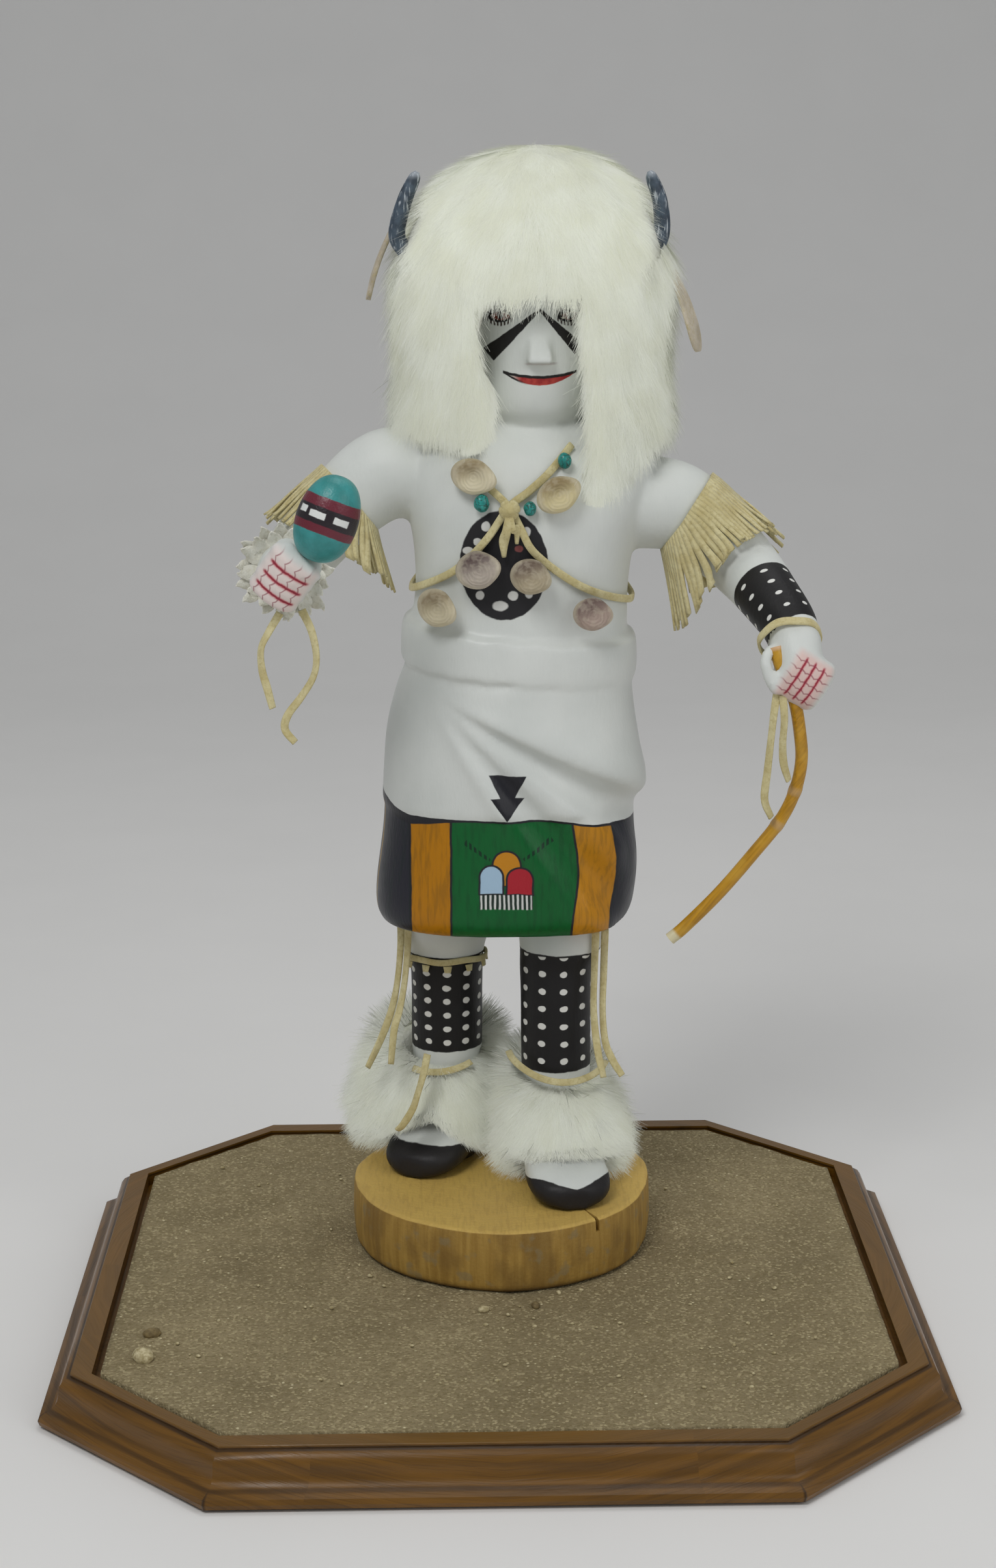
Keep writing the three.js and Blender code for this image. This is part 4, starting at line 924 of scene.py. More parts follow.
def paintFist(name, fist):
    # Pink fingers with crimson lines between them and fine dark lines across the joints
    s, place, colour = whitePaint(name)
    local = s.wobbled(s.local(fist["centre"], fist["stick"], fist["facing"]), 2.4, 0.4)
    x, y, z = s.add("SeparateXYZ", local, output=None)
    pitch, first, last = fist["pitch"], fist["joints"][0], fist["joints"][-1]
    ahead = s.step(s.add("MULTIPLY", y, -1.0), 2.0, 1.5)
    front = s.both(ahead, s.band(z, -2 * pitch, 2 * pitch, 1.6), s.band(x, first - 3, last + 3, 1.6))
    colour = s.coat(colour, front, tone(fist["tint"]), 0.75)
    between = s.add("ABSOLUTE", s.repeat(z, pitch))
    fingers = s.both(ahead, s.band(z, -1.6 * pitch, 1.6 * pitch), s.band(x, first - 1, last + 1.5, 0.8))
    for half, soft, strength, code in fingerLines:
        line = s.below(between, half * pitch, soft * pitch)
        colour = s.coat(colour, s.both(fingers, line), tone(code), strength)
    bowed = s.add("MULTIPLY_ADD", s.add("MULTIPLY", between, between), 0.16, x)
    for joint in fist["joints"]:
        across = s.below(s.add("ABSOLUTE", s.add("SUBTRACT", bowed, joint + 0.4)), 0.26, 0.2)
        colour = s.coat(colour, s.both(front, across), tone("#93384a"), 0.7)
    return painted(s, place, colour)


def makeDoll():
    bm = bmesh.new()
    gridSkin(bm, 240, 168, trunkSkin)
    gridSkin(bm, 110, 72, columnSkin(doll["head"]))
    nose = doll["nose"]
    faceY = onColumn(doll["head"], 0.0, (nose["top"] + nose["low"]) / 2)[1]
    wedge = bmesh.ops.create_cube(bm, size=1.0)["verts"]
    for vert in wedge:
        side, front, high = vert.co.x, vert.co.y < 0, vert.co.z > 0
        reach = -nose["reach"] if front and not high else (5.5 if front else 9)
        width = nose["width"] * (0.34 if high else 1) * (0.74 if front else 1)
        vert.co = Vector((nose["x"] + side * width, faceY + reach, nose["top"] if high else nose["low"])) * mm
    for points in (doll["armRight"], doll["armLeft"]):
        gridSkin(bm, 64, 90, limb(points))
    for rows in (doll["legRight"], doll["legLeft"]):
        gridSkin(bm, 60, 60, columnSkin([(z, x, y, r, r, 2) for z, x, y, r in rows]))
    for foot in doll["feet"]:
        gridSkin(bm, 60, 44, footSkin(*foot[:3]))
    addFist(bm, doll["fistRight"])
    addFist(bm, doll["fistLeft"])
    raw = toObject("doll_raw", bm)
    whole = raw.modifiers.new("one carving", "REMESH")
    whole.mode = "VOXEL"
    whole.voxel_size = doll["voxel"] * mm
    bm = settled(raw)
    relax(bm, 2)
    right, left = doll["feet"]
    surfaces = [
        paintPlain(), paintFace(), paintChest(), paintKilt(),
        paintLegging("legging_right_paint_brushed", (-18.5, 52.3), (97.2, 5.8), (0.0, 8.23), (93, 133.5)),
        paintLegging("legging_left_paint_brushed", (25.0, 27.0), (97.6, 7.1), (2.6, 9.05), (93, 141)),
        paintFoot("foot_right_paint_brushed", *right), paintFoot("foot_left_paint_brushed", *left),
        paintForearm(), paintFist("fist_right_paint_brushed", doll["fistRight"]),
        paintFist("fist_left_paint_brushed", doll["fistLeft"]),
    ]
    made = addPiece("doll_carved", bm, surfaces, ["figure"])
    centres = np.empty(len(made.data.polygons) * 3)
    made.data.polygons.foreach_get("center", centres)
    x, y, z = centres.reshape(-1, 3).T / mm
    pastWrist = 0.25 * (x - 112.4) - 0.76 * (y + 5) - 0.62 * (z - 270.6) > 0
    regions = [
        (9, (x < -58) & (y < -24)), (10, (x > 96) & pastWrist), (8, (x > 86) & (y < 32)), (1, z > 346),
        (6, (z < 70) & (x < 3)), (7, z < 70), (4, (z < 151.5) & (x < 3)), (5, z < 151.5),
        (3, (z < 273) & (abs(x - 5) < 62)), (2, (z < 322) & (y < 24) & (abs(x - 5) < 30)),
    ]
    index = np.select([chosen for _, chosen in regions], [number for number, _ in regions], 0)
    made.data.polygons.foreach_set("material_index", index.astype(np.int32))
    return made


carved = makeDoll()
print("doll made:", len(carved.data.polygons), "faces")


# Fur: wig and ankle cuffs, of flat tapering hairs over a hide

def furCombed(name, root, tip):
    # Fine white fur: hairs of nearly one cream, a little darker at the root as painted shade deep in the fur,
    # warmer in patches, dull
    s = Surface(name)
    strand, along, _ = s.add("SeparateXYZ", s.add("UVMap", uv_map="strand"), output=None)
    # Painted shade: the roots are a little darker than the tips
    colour = s.coat(tone(root), s.step(along, 0.3, 0.35), tone(tip))
    colour = s.coat(colour, s.step(s.mottle(s.local(), 16.0, 2.0), 0.52, 0.16), tone("#d9dac8"), 0.4)
    colour = s.coat(colour, s.step(strand, 0.75, 0.25), tone("#cdcec1"), 0.4)
    return s.finish(colour, 0.8, Specular_IOR_Level=0.1)


def hidePale(name):
    # Pale skin under the fur
    s = Surface(name)
    place = s.local()
    colour = s.clouded("#d9dad0", "#cecfc3", place, 1.5, 3.0, 0.2, (1.0, 1.0, 0.2))
    return s.finish(colour, 0.9, s.mottle(place, 0.9, 3.0), 0.5)


def addHair(name, count, width, path, surface, nodes):
    # Hairs are strips of one long grid, laid from root to tip
    bm = bmesh.new()
    cutStrips(bm, count, 1)
    made = addPiece(name, bm, [surface], nodes, recalc=False)
    mesh = made.data
    flat = np.empty(len(mesh.vertices) * 3, np.float32)
    mesh.vertices.foreach_get("co", flat)
    flat = flat.reshape(-1, 3) + 0.5
    strand, side = stripOf(flat, count)
    row = np.rint(flat[:, 1]).astype(int)
    (root, normal), (tip, _) = path(0.0), path(1.0)
    across = unit(np.cross(tip - root, normal + chance.normal(0, 0.15, (count, 3))))
    # Fur spreads the light, so its shading leans upwards
    normal = unit(0.6 * normal + (0, 0, 0.45) + chance.normal(0, 0.1, (count, 3)))
    spot = np.where(row[:, None] == 0, root[strand], tip[strand])
    wide = width * np.where(row == 0, 1.0, 0.25)
    placed = spot + across[strand] * (side * wide)[:, None]
    mesh.vertices.foreach_set("co", (placed * mm).astype(np.float32).ravel())
    corner = np.empty(len(mesh.loops), np.int32)
    mesh.loops.foreach_get("vertex_index", corner)
    layer = mesh.uv_layers.new(name="strand")
    shade = chance.random(count)
    strandUv = np.stack([shade[strand[corner]], row[corner]], -1)
    layer.uv.foreach_set("vector", strandUv.astype(np.float32).ravel())
    mesh.update()
    mesh.normals_split_custom_set_from_vertices(normal[strand].tolist())
    # Light goes through such thin hair, so only the hide throws a shadow
    made.visible_shadow = False
    return made


def addHide(name, node, shrink, trim=None):
    # Skin under the fur: the cut form drawn in a little
    bm = bmesh.new()
    bm.from_mesh(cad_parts[node].data)
    bmesh.ops.remove_doubles(bm, verts=bm.verts, dist=0.01 * mm)
    bmesh.ops.subdivide_edges(bm, edges=bm.edges, cuts=1, use_grid_fill=True)
    relax(bm, 3)
    bm.normal_update()
    for vert in bm.verts:
        vert.co -= vert.normal * shrink * mm
    if trim:
        spots = np.array([vert.co for vert in bm.verts], float) / mm
        for vert, low in zip(bm.verts, trim(spots)):
            vert.co.z = max(vert.co.z, (low + 2) * mm)
    return addPiece(name, bm, [hidePale(name + "_pale")], [node])


def gathered(roots, tufts, pull, stray):
    # Shift of every hair tip towards the middle of its tuft, and with the tuft to one side
    seeds = roots[chance.choice(len(roots), tufts, replace=False)]
    tree = KDTree(tufts)
    for i, seed in enumerate(seeds):
        tree.insert(seed, i)
    tree.balance()
    nearest = np.array([tree.find(root)[1] for root in roots])
    return (seeds[nearest] - roots) * pull + chance.normal(0, stray, (tufts, 3))[nearest]


horns = {
    "right": [
        (-31, 35, 411, 3.2), (-34.4, 35, 418, 3.2), (-31.4, 35, 430, 2.9), (-27.6, 35, 438.4, 2.3),
        (-26.4, 35, 440.8, 0.9),
    ],
    "left": [
        (60, 35, 409, 3.2), (65, 35, 417, 3.2), (64.6, 35, 429, 2.9), (61.4, 35, 438, 2.3),
        (60.4, 35, 440.6, 0.9),
    ],
}
wig = {
    "rows": [
        (333, 16.5, 44, 49, 36, 2.2), (345, 16.5, 43, 54, 44, 2.3), (372, 16.5, 42, 53.6, 47, 2.3),
        (400, 16.7, 42, 54.4, 48, 2.3), (416, 16.9, 42, 52.4, 46.5, 2.2),
        (433, 17.8, 42, 42.5, 38.5, 2.1), (445, 18.4, 42, 26.5, 24.5, 2.0), (450.4, 18.8, 42, 9, 9, 2.0),
        (451.2, 18.8, 42, 0.6, 0.6, 2.0),
    ],
    "faceTop": 394.0,
    "frontEdge": [
        (-40, 349), (-33.3, 346), (-26.6, 340.5), (-15.7, 336.5), (-6.2, 339.4), (-2.1, 343.4), (0, 350),
        (3, 357), (29, 345), (30.6, 338), (32, 329), (37.5, 320), (45.8, 317.5), (54, 321), (62, 333),
        (68, 341), (74, 345),
    ],
    "opening": [
        (329, -7.5, 31.5), (341, -5.6, 36), (347, -2.2, 37.2), (356, -0.2, 37.7), (364, -2, 37.4),
        (378, -5.8, 36.6), (395, -7, 34.6),
    ],
    "edge": 333,
    "crown": (428, 446),
    "frontHairs": 92000,
    "backHairs": 72000,
    "edgeHairs": 24000,
    "tufts": 1000,
    "length": (7.0, 14.0),
    "rise": (0.12, 0.42),
    "depth": 3.0,
    "width": 0.2,
}


def wigEdge(x, y):
    # Lower edge of the fur: round-ended locks beside the face, the left one longer, and a level edge behind
    front = np.interp(x, *zip(*wig["frontEdge"]))
    return wig["edge"] + (front - wig["edge"]) * smooth(50, 10, y)


def faceSides(z):
    # Both sides of the opening for the face
    return follow(wig["opening"], z).T


def addWigHair(name, count, turns, surface):
    # Hairs of one side of the wig: they lie down from the crown, and leave the face and the horns free
    rows, edge = wig["rows"], wig["edge"]
    height = np.linspace(rows[-1][0], rows[0][0], 400)
    size = follow(rows, height)[:, 2:4].mean(axis=1)
    down = np.concatenate([[0], np.cumsum(np.hypot(np.diff(height), np.diff(size)))])
    share = np.cumsum(size * np.gradient(down))
    spare = int(count * 1.5)
    arc = np.interp(chance.random(spare), share / share[-1], down)
    angle = chance.uniform(*turns, spare)
    level = np.interp(arc, down, height)
    root = onColumn(rows, angle, level)
    left, right = faceSides(root[:, 2])
    inFace = (root[:, 0] > left) & (root[:, 0] < right) & (root[:, 1] < 30)
    bare = inFace & (root[:, 2] < wig["faceTop"] + 4)
    for points in horns.values():
        spots = alongPath(points, np.linspace(0, 1, 9))[0]
        near = np.min([np.hypot(root[:, 0] - spot[0], root[:, 2] - spot[2]) for spot in spots], axis=0)
        free = np.where((root[:, 1] < 36) & (root[:, 2] > 419), 8.0, 4.0)
        bare |= (near < free) & (root[:, 1] < 48)
    kept = np.flatnonzero(~bare)[:count]
    angle, level, root, inFace = angle[kept], level[kept], root[kept], inFace[kept]
    side = onColumn(rows, angle + 0.01, level) - onColumn(rows, angle - 0.01, level)
    under, over = np.maximum(level - 0.5, edge), np.minimum(level + 0.5, 451)
    slope = unit(onColumn(rows, angle, under) - onColumn(rows, angle, over))
    out = unit(np.cross(slope, side))
    sway = 0.16 * np.sin(7 * angle + 0.09 * level) + 0.12 * np.sin(17 * angle - 0.13 * level)
    loose = 0.2 + 0.15 * smooth(415, 445, level)
    shake = chance.normal(0, 1, root.shape)
    atCrown = smooth(*wig["crown"], level)
    shake = shake - (0.6 + 0.4 * atCrown)[:, None] * np.sum(shake * out, axis=1, keepdims=True) * out
    flow = unit(slope + sway[:, None] * unit(side) + loose[:, None] * shake)
    drop = edge - wigEdge(root[:, 0], root[:, 1])
    root[:, 2] -= drop * smooth(365, 335, root[:, 2])
    uneven = 1.8 * np.sin(0.55 * root[:, 0]) + chance.uniform(-6, 6, count)
    low = np.where(inFace, wig["faceTop"] + uneven, edge - drop + chance.uniform(-3, 5, count))
    long = chance.uniform(*wig["length"], count)
    room = np.maximum((root[:, 2] - low) / np.maximum(-flow[:, 2], 0.3), 3.0)
    long = np.where(inFace & (root[:, 2] > 415), long, np.minimum(long, room))
    rise = chance.uniform(*wig["rise"], count)
    rise = rise + (chance.random(count) < 0.1) * chance.uniform(0, 0.3, count)
    # The front of the crown lies flat, the back of it stands up a little
    rise = rise * (1 - atCrown * (0.4 + 0.45 * smooth(48, 40, root[:, 1])))
    depth = wig["depth"] - 2.2 * atCrown
    tuft = gathered(root, wig["tufts"], 0.2, 0.6)
    facing = unit(out - 0.22 * tuft)

    def path(share):
        lean = (flow + out * rise[:, None]) * (long * share)[:, None]
        sag = np.outer(0.1 * long * share**2, (0, 0, 1))
        return root - out * depth[:, None] + lean + tuft * share**1.3 - sag, facing

    addHair(name, count, wig["width"], path, surface, ["fur_wig"])


def addFaceHair(surface):
    # Hairs on both sides of the face opening
    count = wig["edgeHairs"]
    toRight = np.where(chance.random(count) < 0.5, 1, -1)
    share = chance.random(count)
    deep = chance.uniform(1.5, 20, count)
    left, right = faceSides(340 + 58 * share)
    x = np.where(toRight > 0, right, left) + chance.uniform(0, 5, count) * toRight
    edge = wigEdge(x, deep)
    z = edge + 3 + (395 - edge) * share
    y = np.array([onFront(wig["rows"], across, max(up, 345), 0.0)[1] for across, up in zip(x, z)]) + deep
    root = np.stack([x, y, z], -1)
    flow = np.stack([-0.04 * toRight, np.full(count, -0.08), np.full(count, -1.0)], -1)
    flow = unit(flow + chance.normal(0, 0.2, (count, 3)))
    long = np.minimum(chance.uniform(8, 14, count), np.maximum(z - edge + 1, 3))
    out = unit(np.stack([-0.25 * toRight, np.full(count, -1.0), np.full(count, 0.1)], -1))

    def path(share):
        return root + flow * (long * share)[:, None] + out * (1.6 * share * long / 12)[:, None], out

    addHair("wig_fur_round_face", count, wig["width"], path, surface, ["fur_wig"])


def makeWig():
    fur = furCombed("wig_fur_combed", "#d3d5ca", "#e4e6dd")
    addWigHair("wig_fur_front", wig["frontHairs"], (-math.pi / 2, math.pi / 2), fur)
    addWigHair("wig_fur_back", wig["backHairs"], (math.pi / 2, math.pi * 3 / 2), fur)
    addFaceHair(fur)
    addHide("wig_hide", "fur_wig", 2.6, lambda spots: wigEdge(spots[:, 0], spots[:, 1]))


makeWig()
print("wig made")

anklets = {
    "right": {
        "rows": [
            (54, -26, 53, 20, 20, 2), (60, -27, 54, 30, 28, 2), (74, -25.5, 55.5, 34.5, 31.5, 2),
            (86, -24, 57, 32, 30, 2), (94, -21, 56, 22, 21, 2),
        ],
        "lean": (0.44, 0.0),
        "hairs": 58000,
        "toe": (-25.0, 69.5, 0.42, 0.9),
        "strip": {
            "angles": (-34, 36), "x": -21, "y": 55, "radius": 20.5, "low": 86.0, "rise": 0.012, "middle": -25,
        },
    },
    "left": {
        "rows": [
            (51, 26, 24, 16, 16, 2), (57, 27, 23.5, 25, 25, 2), (71, 27, 24.5, 28, 28, 2),
            (83, 26, 25.5, 25.5, 26, 2), (90, 25, 26, 17.5, 18, 2),
        ],
        "lean": (0.24, -0.1),
        "hairs": 50000,
        "toe": (30.0, 63.0, 0.12, 0.1),
        "strip": {
            "angles": (-88, 80), "x": 25.5, "y": 26, "radius": 19.5, "low": 91.0, "rise": 0.013, "middle": 29,
        },
    },
}


def makeAnklet(side):
    cuff = anklets[side]
    rows, count = cuff["rows"], cuff["hairs"]
    low, high = rows[0][0], rows[-1][0]
    cx, cy = rows[2][1:3]

    def onCuff(angle, along, lift):
        spot = onColumn(rows, angle, low + (high - low) * along, lift)
        spot[:, 2] += along * (cuff["lean"][0] * (spot[:, 1] - cy) + cuff["lean"][1] * (spot[:, 0] - cx))
        return spot

    def lowest(spots):
        # The fur is drawn up over the front of the foot
        middle, top, fallLeft, fallRight = cuff["toe"]
        aside = spots[:, 0] - middle
        edge = top - fallLeft * np.maximum(-aside, 0) - fallRight * np.maximum(aside, 0)
        return 44.7 + np.maximum(edge - 44.7, 0) * smooth(cy - 4, cy - 16, spots[:, 1])

    angle = chance.uniform(-math.pi, math.pi, count)
    behind = smooth(-0.2, 0.6, -np.cos(angle))
    along = chance.random(count)
    long = chance.uniform(8, 14, count)
    shell = onCuff(angle, along, 0.0)
    root = onCuff(angle, along, -6.5)
    out = unit((shell - np.array((cx, cy, (low + high) / 2))) * (1, 1, 0.5))
    atTop = smooth(0.72, 0.96, along)
    fall = np.outer(0.85 - atTop * (0.45 + 0.85 * behind), (0, 0, -1))
    flow = unit(out * (1, 1, 0.4) * 0.7 + fall + chance.normal(0, 0.2, out.shape))
    tuft = gathered(shell, 500, 0.2, 0.8)
    forward = (chance.random(count) < 0.6 * behind * atTop)[:, None]
    facing = np.where(forward, (0, -1, 0.3), unit(out - 0.3 * tuft + (0, -0.3, 0.3)))
    stop = chance.uniform(-1.0, 4.0, count)

    def path(share):
        spot = root + flow * (long * share)[:, None] + tuft * share
        spot[:, 2] = np.maximum(spot[:, 2], lowest(spot) + stop)
        return spot, facing

    fur = furCombed(f"anklet_{side}_fur_combed", "#d3d5ca", "#e6e8df")
    addHair(f"anklet_{side}_fur", count, wig["width"], path, fur, [f"fur_anklet_{side}"])
    addHide(f"anklet_{side}_hide", f"fur_anklet_{side}", 5.0, lowest)


def makeAnkletStrip(side):
    # Narrow leather edge along the top of the fur, at the front
    strip = anklets[side]["strip"]
    points = []
    for turn in np.radians(np.linspace(*strip["angles"], 9)):
        x = strip["x"] + strip["radius"] * math.sin(turn)
        y = strip["y"] - strip["radius"] * math.cos(turn)
        points.append((x, y, strip["low"] + strip["rise"] * (x - strip["middle"]) ** 2))
    skin = strap(points, 2.8, 1.0, (0, -1, 0.6), twist=0.4)
    addSkin(f"anklet_{side}_strip", 12, 60, skin, leather, f"fur_anklet_{side}")


for ankletSide in anklets:
    makeAnklet(ankletSide)
print("ankle fur made")


# Leather: armbands with fringes, wrist ruff, bands, laces, bandoliers and ear tabs

def leatherSplit(name, light="#ddd3a4", dark="#c9bb86", stain="#b5a56c"):
    # Cream split hide, yellower in patches, with darker specks and a soft nap
    s = Surface(name)
    place = s.local()
    colour = s.clouded(light, dark, place, 7.0, 3.0, 0.2)
    colour = s.coat(colour, s.step(s.mottle(place, 1.4, 3.0), 0.58, 0.1), tone(stain), 0.45)
    return s.finish(colour, 0.85, s.mottle(place, 0.5, 3.0), 0.25, Sheen_Weight=0.15)


leather = leatherSplit("leather_split")
for ankletSide in anklets:
    makeAnkletStrip(ankletSide)

fringes = {
    "right": {
        "arm": "armRight", "place": 0.3, "strips": 58, "lengths": (21.0, 22.0, 20.0, 21.0), "width": 1.7,
    },
    "left": {
        "arm": "armLeft", "place": 0.19, "strips": 64, "lengths": (23.0, 32.0, 27.0, 25.0), "width": 1.8,
    },
}
fringeRadius = 16.5
fringeStart = -1.5


def makeFringe(side):
    # Band round the upper arm, cut in strips: those below hang, those above lie along the arm
    fringe = fringes[side]
    points = doll[fringe["arm"]]
    samples, _ = alongPath(points, np.linspace(0, 1, 200))
    span = np.sum(np.linalg.norm(np.diff(samples[:, :3], axis=0), axis=1))

    def onArm(share, angle, lift):
        here, axis = alongPath(points, share)
        aside = unit(np.cross(axis, (0, -1, 0)))
        out = np.cos(angle)[:, None] * aside + np.sin(angle)[:, None] * np.cross(aside, axis)
        return here[:, :3] + (here[:, 3] + lift)[:, None] * out, out

    def hanging(angle, reach, lift):
        at = np.full(len(angle), fringe["place"])
        start, out = onArm(at, angle, lift)
        hang = smooth(0.35, -0.45, out[:, 2])[:, None]
        lying, _ = onArm(at + reach / span, angle, lift + reach * 0.1)
        down = start + np.outer(reach, (0.22, -0.05, -1))
        return lying * (1 - hang) + down * hang, out

    def lining(across, along):
        return hanging(across * fullTurn, along * 7.5 + fringeStart, 0.9 + 0 * across)[0]

    count = fringe["strips"]
    bm = bmesh.new()
    gridSkin(bm, 60, 4, lining, caps=False)
    verts = cutStrips(bm, count, 10)
    flat = np.array([vert.co[:2] for vert in verts], float) + 0.5
    strip, edge = stripOf(flat, count)
    along = flat[:, 1]
    spread, stand = chance.uniform(-3.0, 2.0, count), chance.uniform(-0.5, 0.7, count)
    curl = chance.normal(0, 1.0, (count, 2))
    angle = strip / count * fullTurn
    out = hanging(angle, np.full(len(angle), 5.0), 1.0)[1]
    above, ahead, under, behind = fringe["lengths"]
    facing = out[:, 1] ** 2
    full = np.where(out[:, 1] < 0, ahead, behind) * facing
    full = full + np.where(out[:, 2] > 0, above, under) * (1 - facing)
    reach = fringeStart + (full + spread[strip] - fringeStart) * along
    width = fringe["width"] * (1 - 0.22 * smooth(0.2, 0.5, along))
    turn = angle + edge * width / fringeRadius + curl[strip, 0] * 0.04 * smooth(0.25, 1, along)
    lift = 1.5 + stand[strip] * smooth(0.25, 0.6, along) + np.abs(curl[strip, 1]) * 1.2 * along**2
    for vert, point in zip(verts, hanging(turn, reach, lift)[0] * mm):
        vert.co = point
    made = addPiece(f"arm_fringe_{side}_leather", bm, [leather], [f"arm_fringe_{side}"], sharp=50)
    body = made.modifiers.new("thickness", "SOLIDIFY")
    body.thickness = 0.8 * mm
    body.offset = 0.0
    return made


for fringeSide in fringes:
    makeFringe(fringeSide)

ruff = {
    "centre": (-76.2, -15, 298.4),
    "axis": (0.09, -1, 0.12),
    "inner": 10.0,
    "outer": 19.0,
    "points": 15,
    "leaf": [(0, 0.8), (0.3, 1.0), (0.6, 0.85), (0.85, 0.42), (1.0, 0.06)],
}


def makeRuff():
    # Pointed leather tabs standing out round the wrist
    axis = unit(np.array(ruff["axis"], float))
    aside = unit(np.cross((0, 0, 1), axis))
    upper = np.cross(axis, aside)
    bm = bmesh.new()
    for layer in range(2):
        for k in range(ruff["points"]):
            angle = (k + 0.5 * layer + chance.uniform(-0.2, 0.2)) / ruff["points"] * fullTurn
            out = math.cos(angle) * aside + math.sin(angle) * upper
            turned = np.cross(axis, out)
            tip = ruff["outer"] + chance.uniform(-3.0, 1.0) - 1.5 * layer
            base = np.array(ruff["centre"]) + axis * (layer * 1.6)
            bow = chance.uniform(2.0, 6.0)
            leaf = []
            for t, wide in ruff["leaf"]:
                spot = base + out * (ruff["inner"] + (tip - ruff["inner"]) * t) + axis * (bow * t * t)
                leaf.append((*(spot + turned * chance.normal(0, 0.25)), wide))
            gridSkin(bm, 8, 10, strap(leaf, 6.0, 0.9, tuple(axis + 0.25 * out)))
    pale = leatherSplit("leather_pale_split", "#efeee4", "#dddaca", "#c9c5b0")
    return addPiece("wrist_ruff_leather", bm, [pale], ["wrist_ruff_right"], sharp=50)


makeRuff()


def hoop(centre, axis, radius, width, thick):
    # Flat band bent round into a ring
    axis = unit(np.array(axis, float))
    aside = unit(np.cross((0.2, 1, 0.1), axis))
    upper = np.cross(axis, aside)

    def place(across, along):
        turn = (along * fullTurn)[:, None]
        out = np.cos(turn) * aside + np.sin(turn) * upper
        angle = (across * fullTurn)[:, None]
        wave = 0.35 * np.sin(along * 31)[:, None]
        spot = np.array(centre, float) + (radius + thick / 2 * bend(np.cos(angle), 0.6)) * out
        return spot + (width / 2 * bend(np.sin(angle), 0.6) + wave) * axis
    return place


def makeBands():
    # Band at the left wrist, and the right knee's garter with short tabs
    wristHoop = hoop((111.4, -5.5, 269.6), (0.08, -0.74, -0.67), 11.6, 3.4, 1.2)
    addSkin("wrist_band_leather", 12, 72, wristHoop, leather, "wrist_band_left", caps=False)
    centre, radius = np.array((-18.6, 51.2, 131.2)), 16.3
    bm = bmesh.new()
    gridSkin(bm, 12, 72, hoop(centre, (0, 0.06, 1), radius, 2.6, 1.1), caps=False)
    for angle in np.radians((-100, -62, -30, 2, 34, 66, 100)):
        out = np.array((math.sin(angle), -math.cos(angle), 0))
        top = centre - (0, 0, 0.8) + out * radius
        tab = [(*(top + out * 0.4 * t - np.array((0, 0, 2.6 * t))), 1 - 0.3 * t) for t in (0, 0.5, 1)]
        gridSkin(bm, 8, 6, strap(tab, 3.6, 0.9, tuple(out)))
    addPiece("knee_garter_leather", bm, [leather], ["knee_garter_right"])


makeBands()

laces = {
    "rattle_thong_1": [
        (-77.4, -33, 286), (-81.5, -34, 279.3), (-84.4, -35, 273.3), (-84.3, -35.4, 265.8),
        (-82.4, -36, 258.3), (-80.7, -36, 251.3),
    ],
    "rattle_thong_2": [
        (-69.5, -33, 287), (-66, -35, 279.5), (-64.4, -36, 270.5), (-65.6, -37, 263.1),
        (-70.2, -37, 255.6), (-75.2, -37, 248.9), (-76.3, -37, 243.6), (-72.7, -37, 238.7),
    ],
    "bow_thong_1": [
        (105.6, -18, 252), (104.4, -19.5, 244.3), (103.6, -19.5, 236), (102.4, -18.8, 222),
        (101.6, -18, 211), (104.4, -16.5, 203.6),
    ],
    "bow_thong_2": [
        (107.6, -19, 251), (108.2, -20.4, 242), (107.8, -20, 233), (108.4, -19, 225),
        (110.6, -17.4, 218),
    ],
    "leg_thong_1": [
        (-36.6, 40, 150.2), (-36.8, 39.5, 138), (-38.2, 38, 124), (-40.5, 36, 113), (-44.6, 32, 102.4),
        (-50.4, 25.5, 91.5),
    ],
    "leg_thong_2": [
        (-33.6, 36, 150.2), (-34, 35.5, 138), (-35.4, 34, 124), (-37.4, 31, 114), (-39.6, 26, 107),
        (-41, 22, 94),
    ],
    "leg_thong_3": [(40.2, 16, 150.2), (39.6, 14.5, 134), (39.2, 11, 119), (40.4, 5, 105.4), (42.6, 0.5, 95)],
    "leg_thong_4": [
        (44, 18.5, 150.2), (43.4, 16.5, 134), (42.8, 12, 118.4), (43.6, 7, 107.6), (46.4, 4, 100.8),
        (50, 2, 95.2),
    ],
    "ankle_thong_1": [
        (-26.5, 27.6, 96), (-28, 22.4, 90), (-30.5, 20, 82), (-32.6, 19, 76), (-36.4, 19, 69.7),
        (-38.8, 19.4, 67.2),
    ],
}
lace = {"width": 3.0, "thick": 1.2}


def makeLace(name, points):
    line, _ = alongPath(points, np.linspace(0, 1, 60))
    length = np.sum(np.linalg.norm(np.diff(line, axis=0), axis=1))
    skin = strap(points, lace["width"], lace["thick"], (0.1, -1, 0.1), twist=0.9)
    made = addSkin(name + "_lace", 12, 60, skin, leather, name)


for laceName, lacePoints in laces.items():
    makeLace(laceName, lacePoints)
print("leather made")

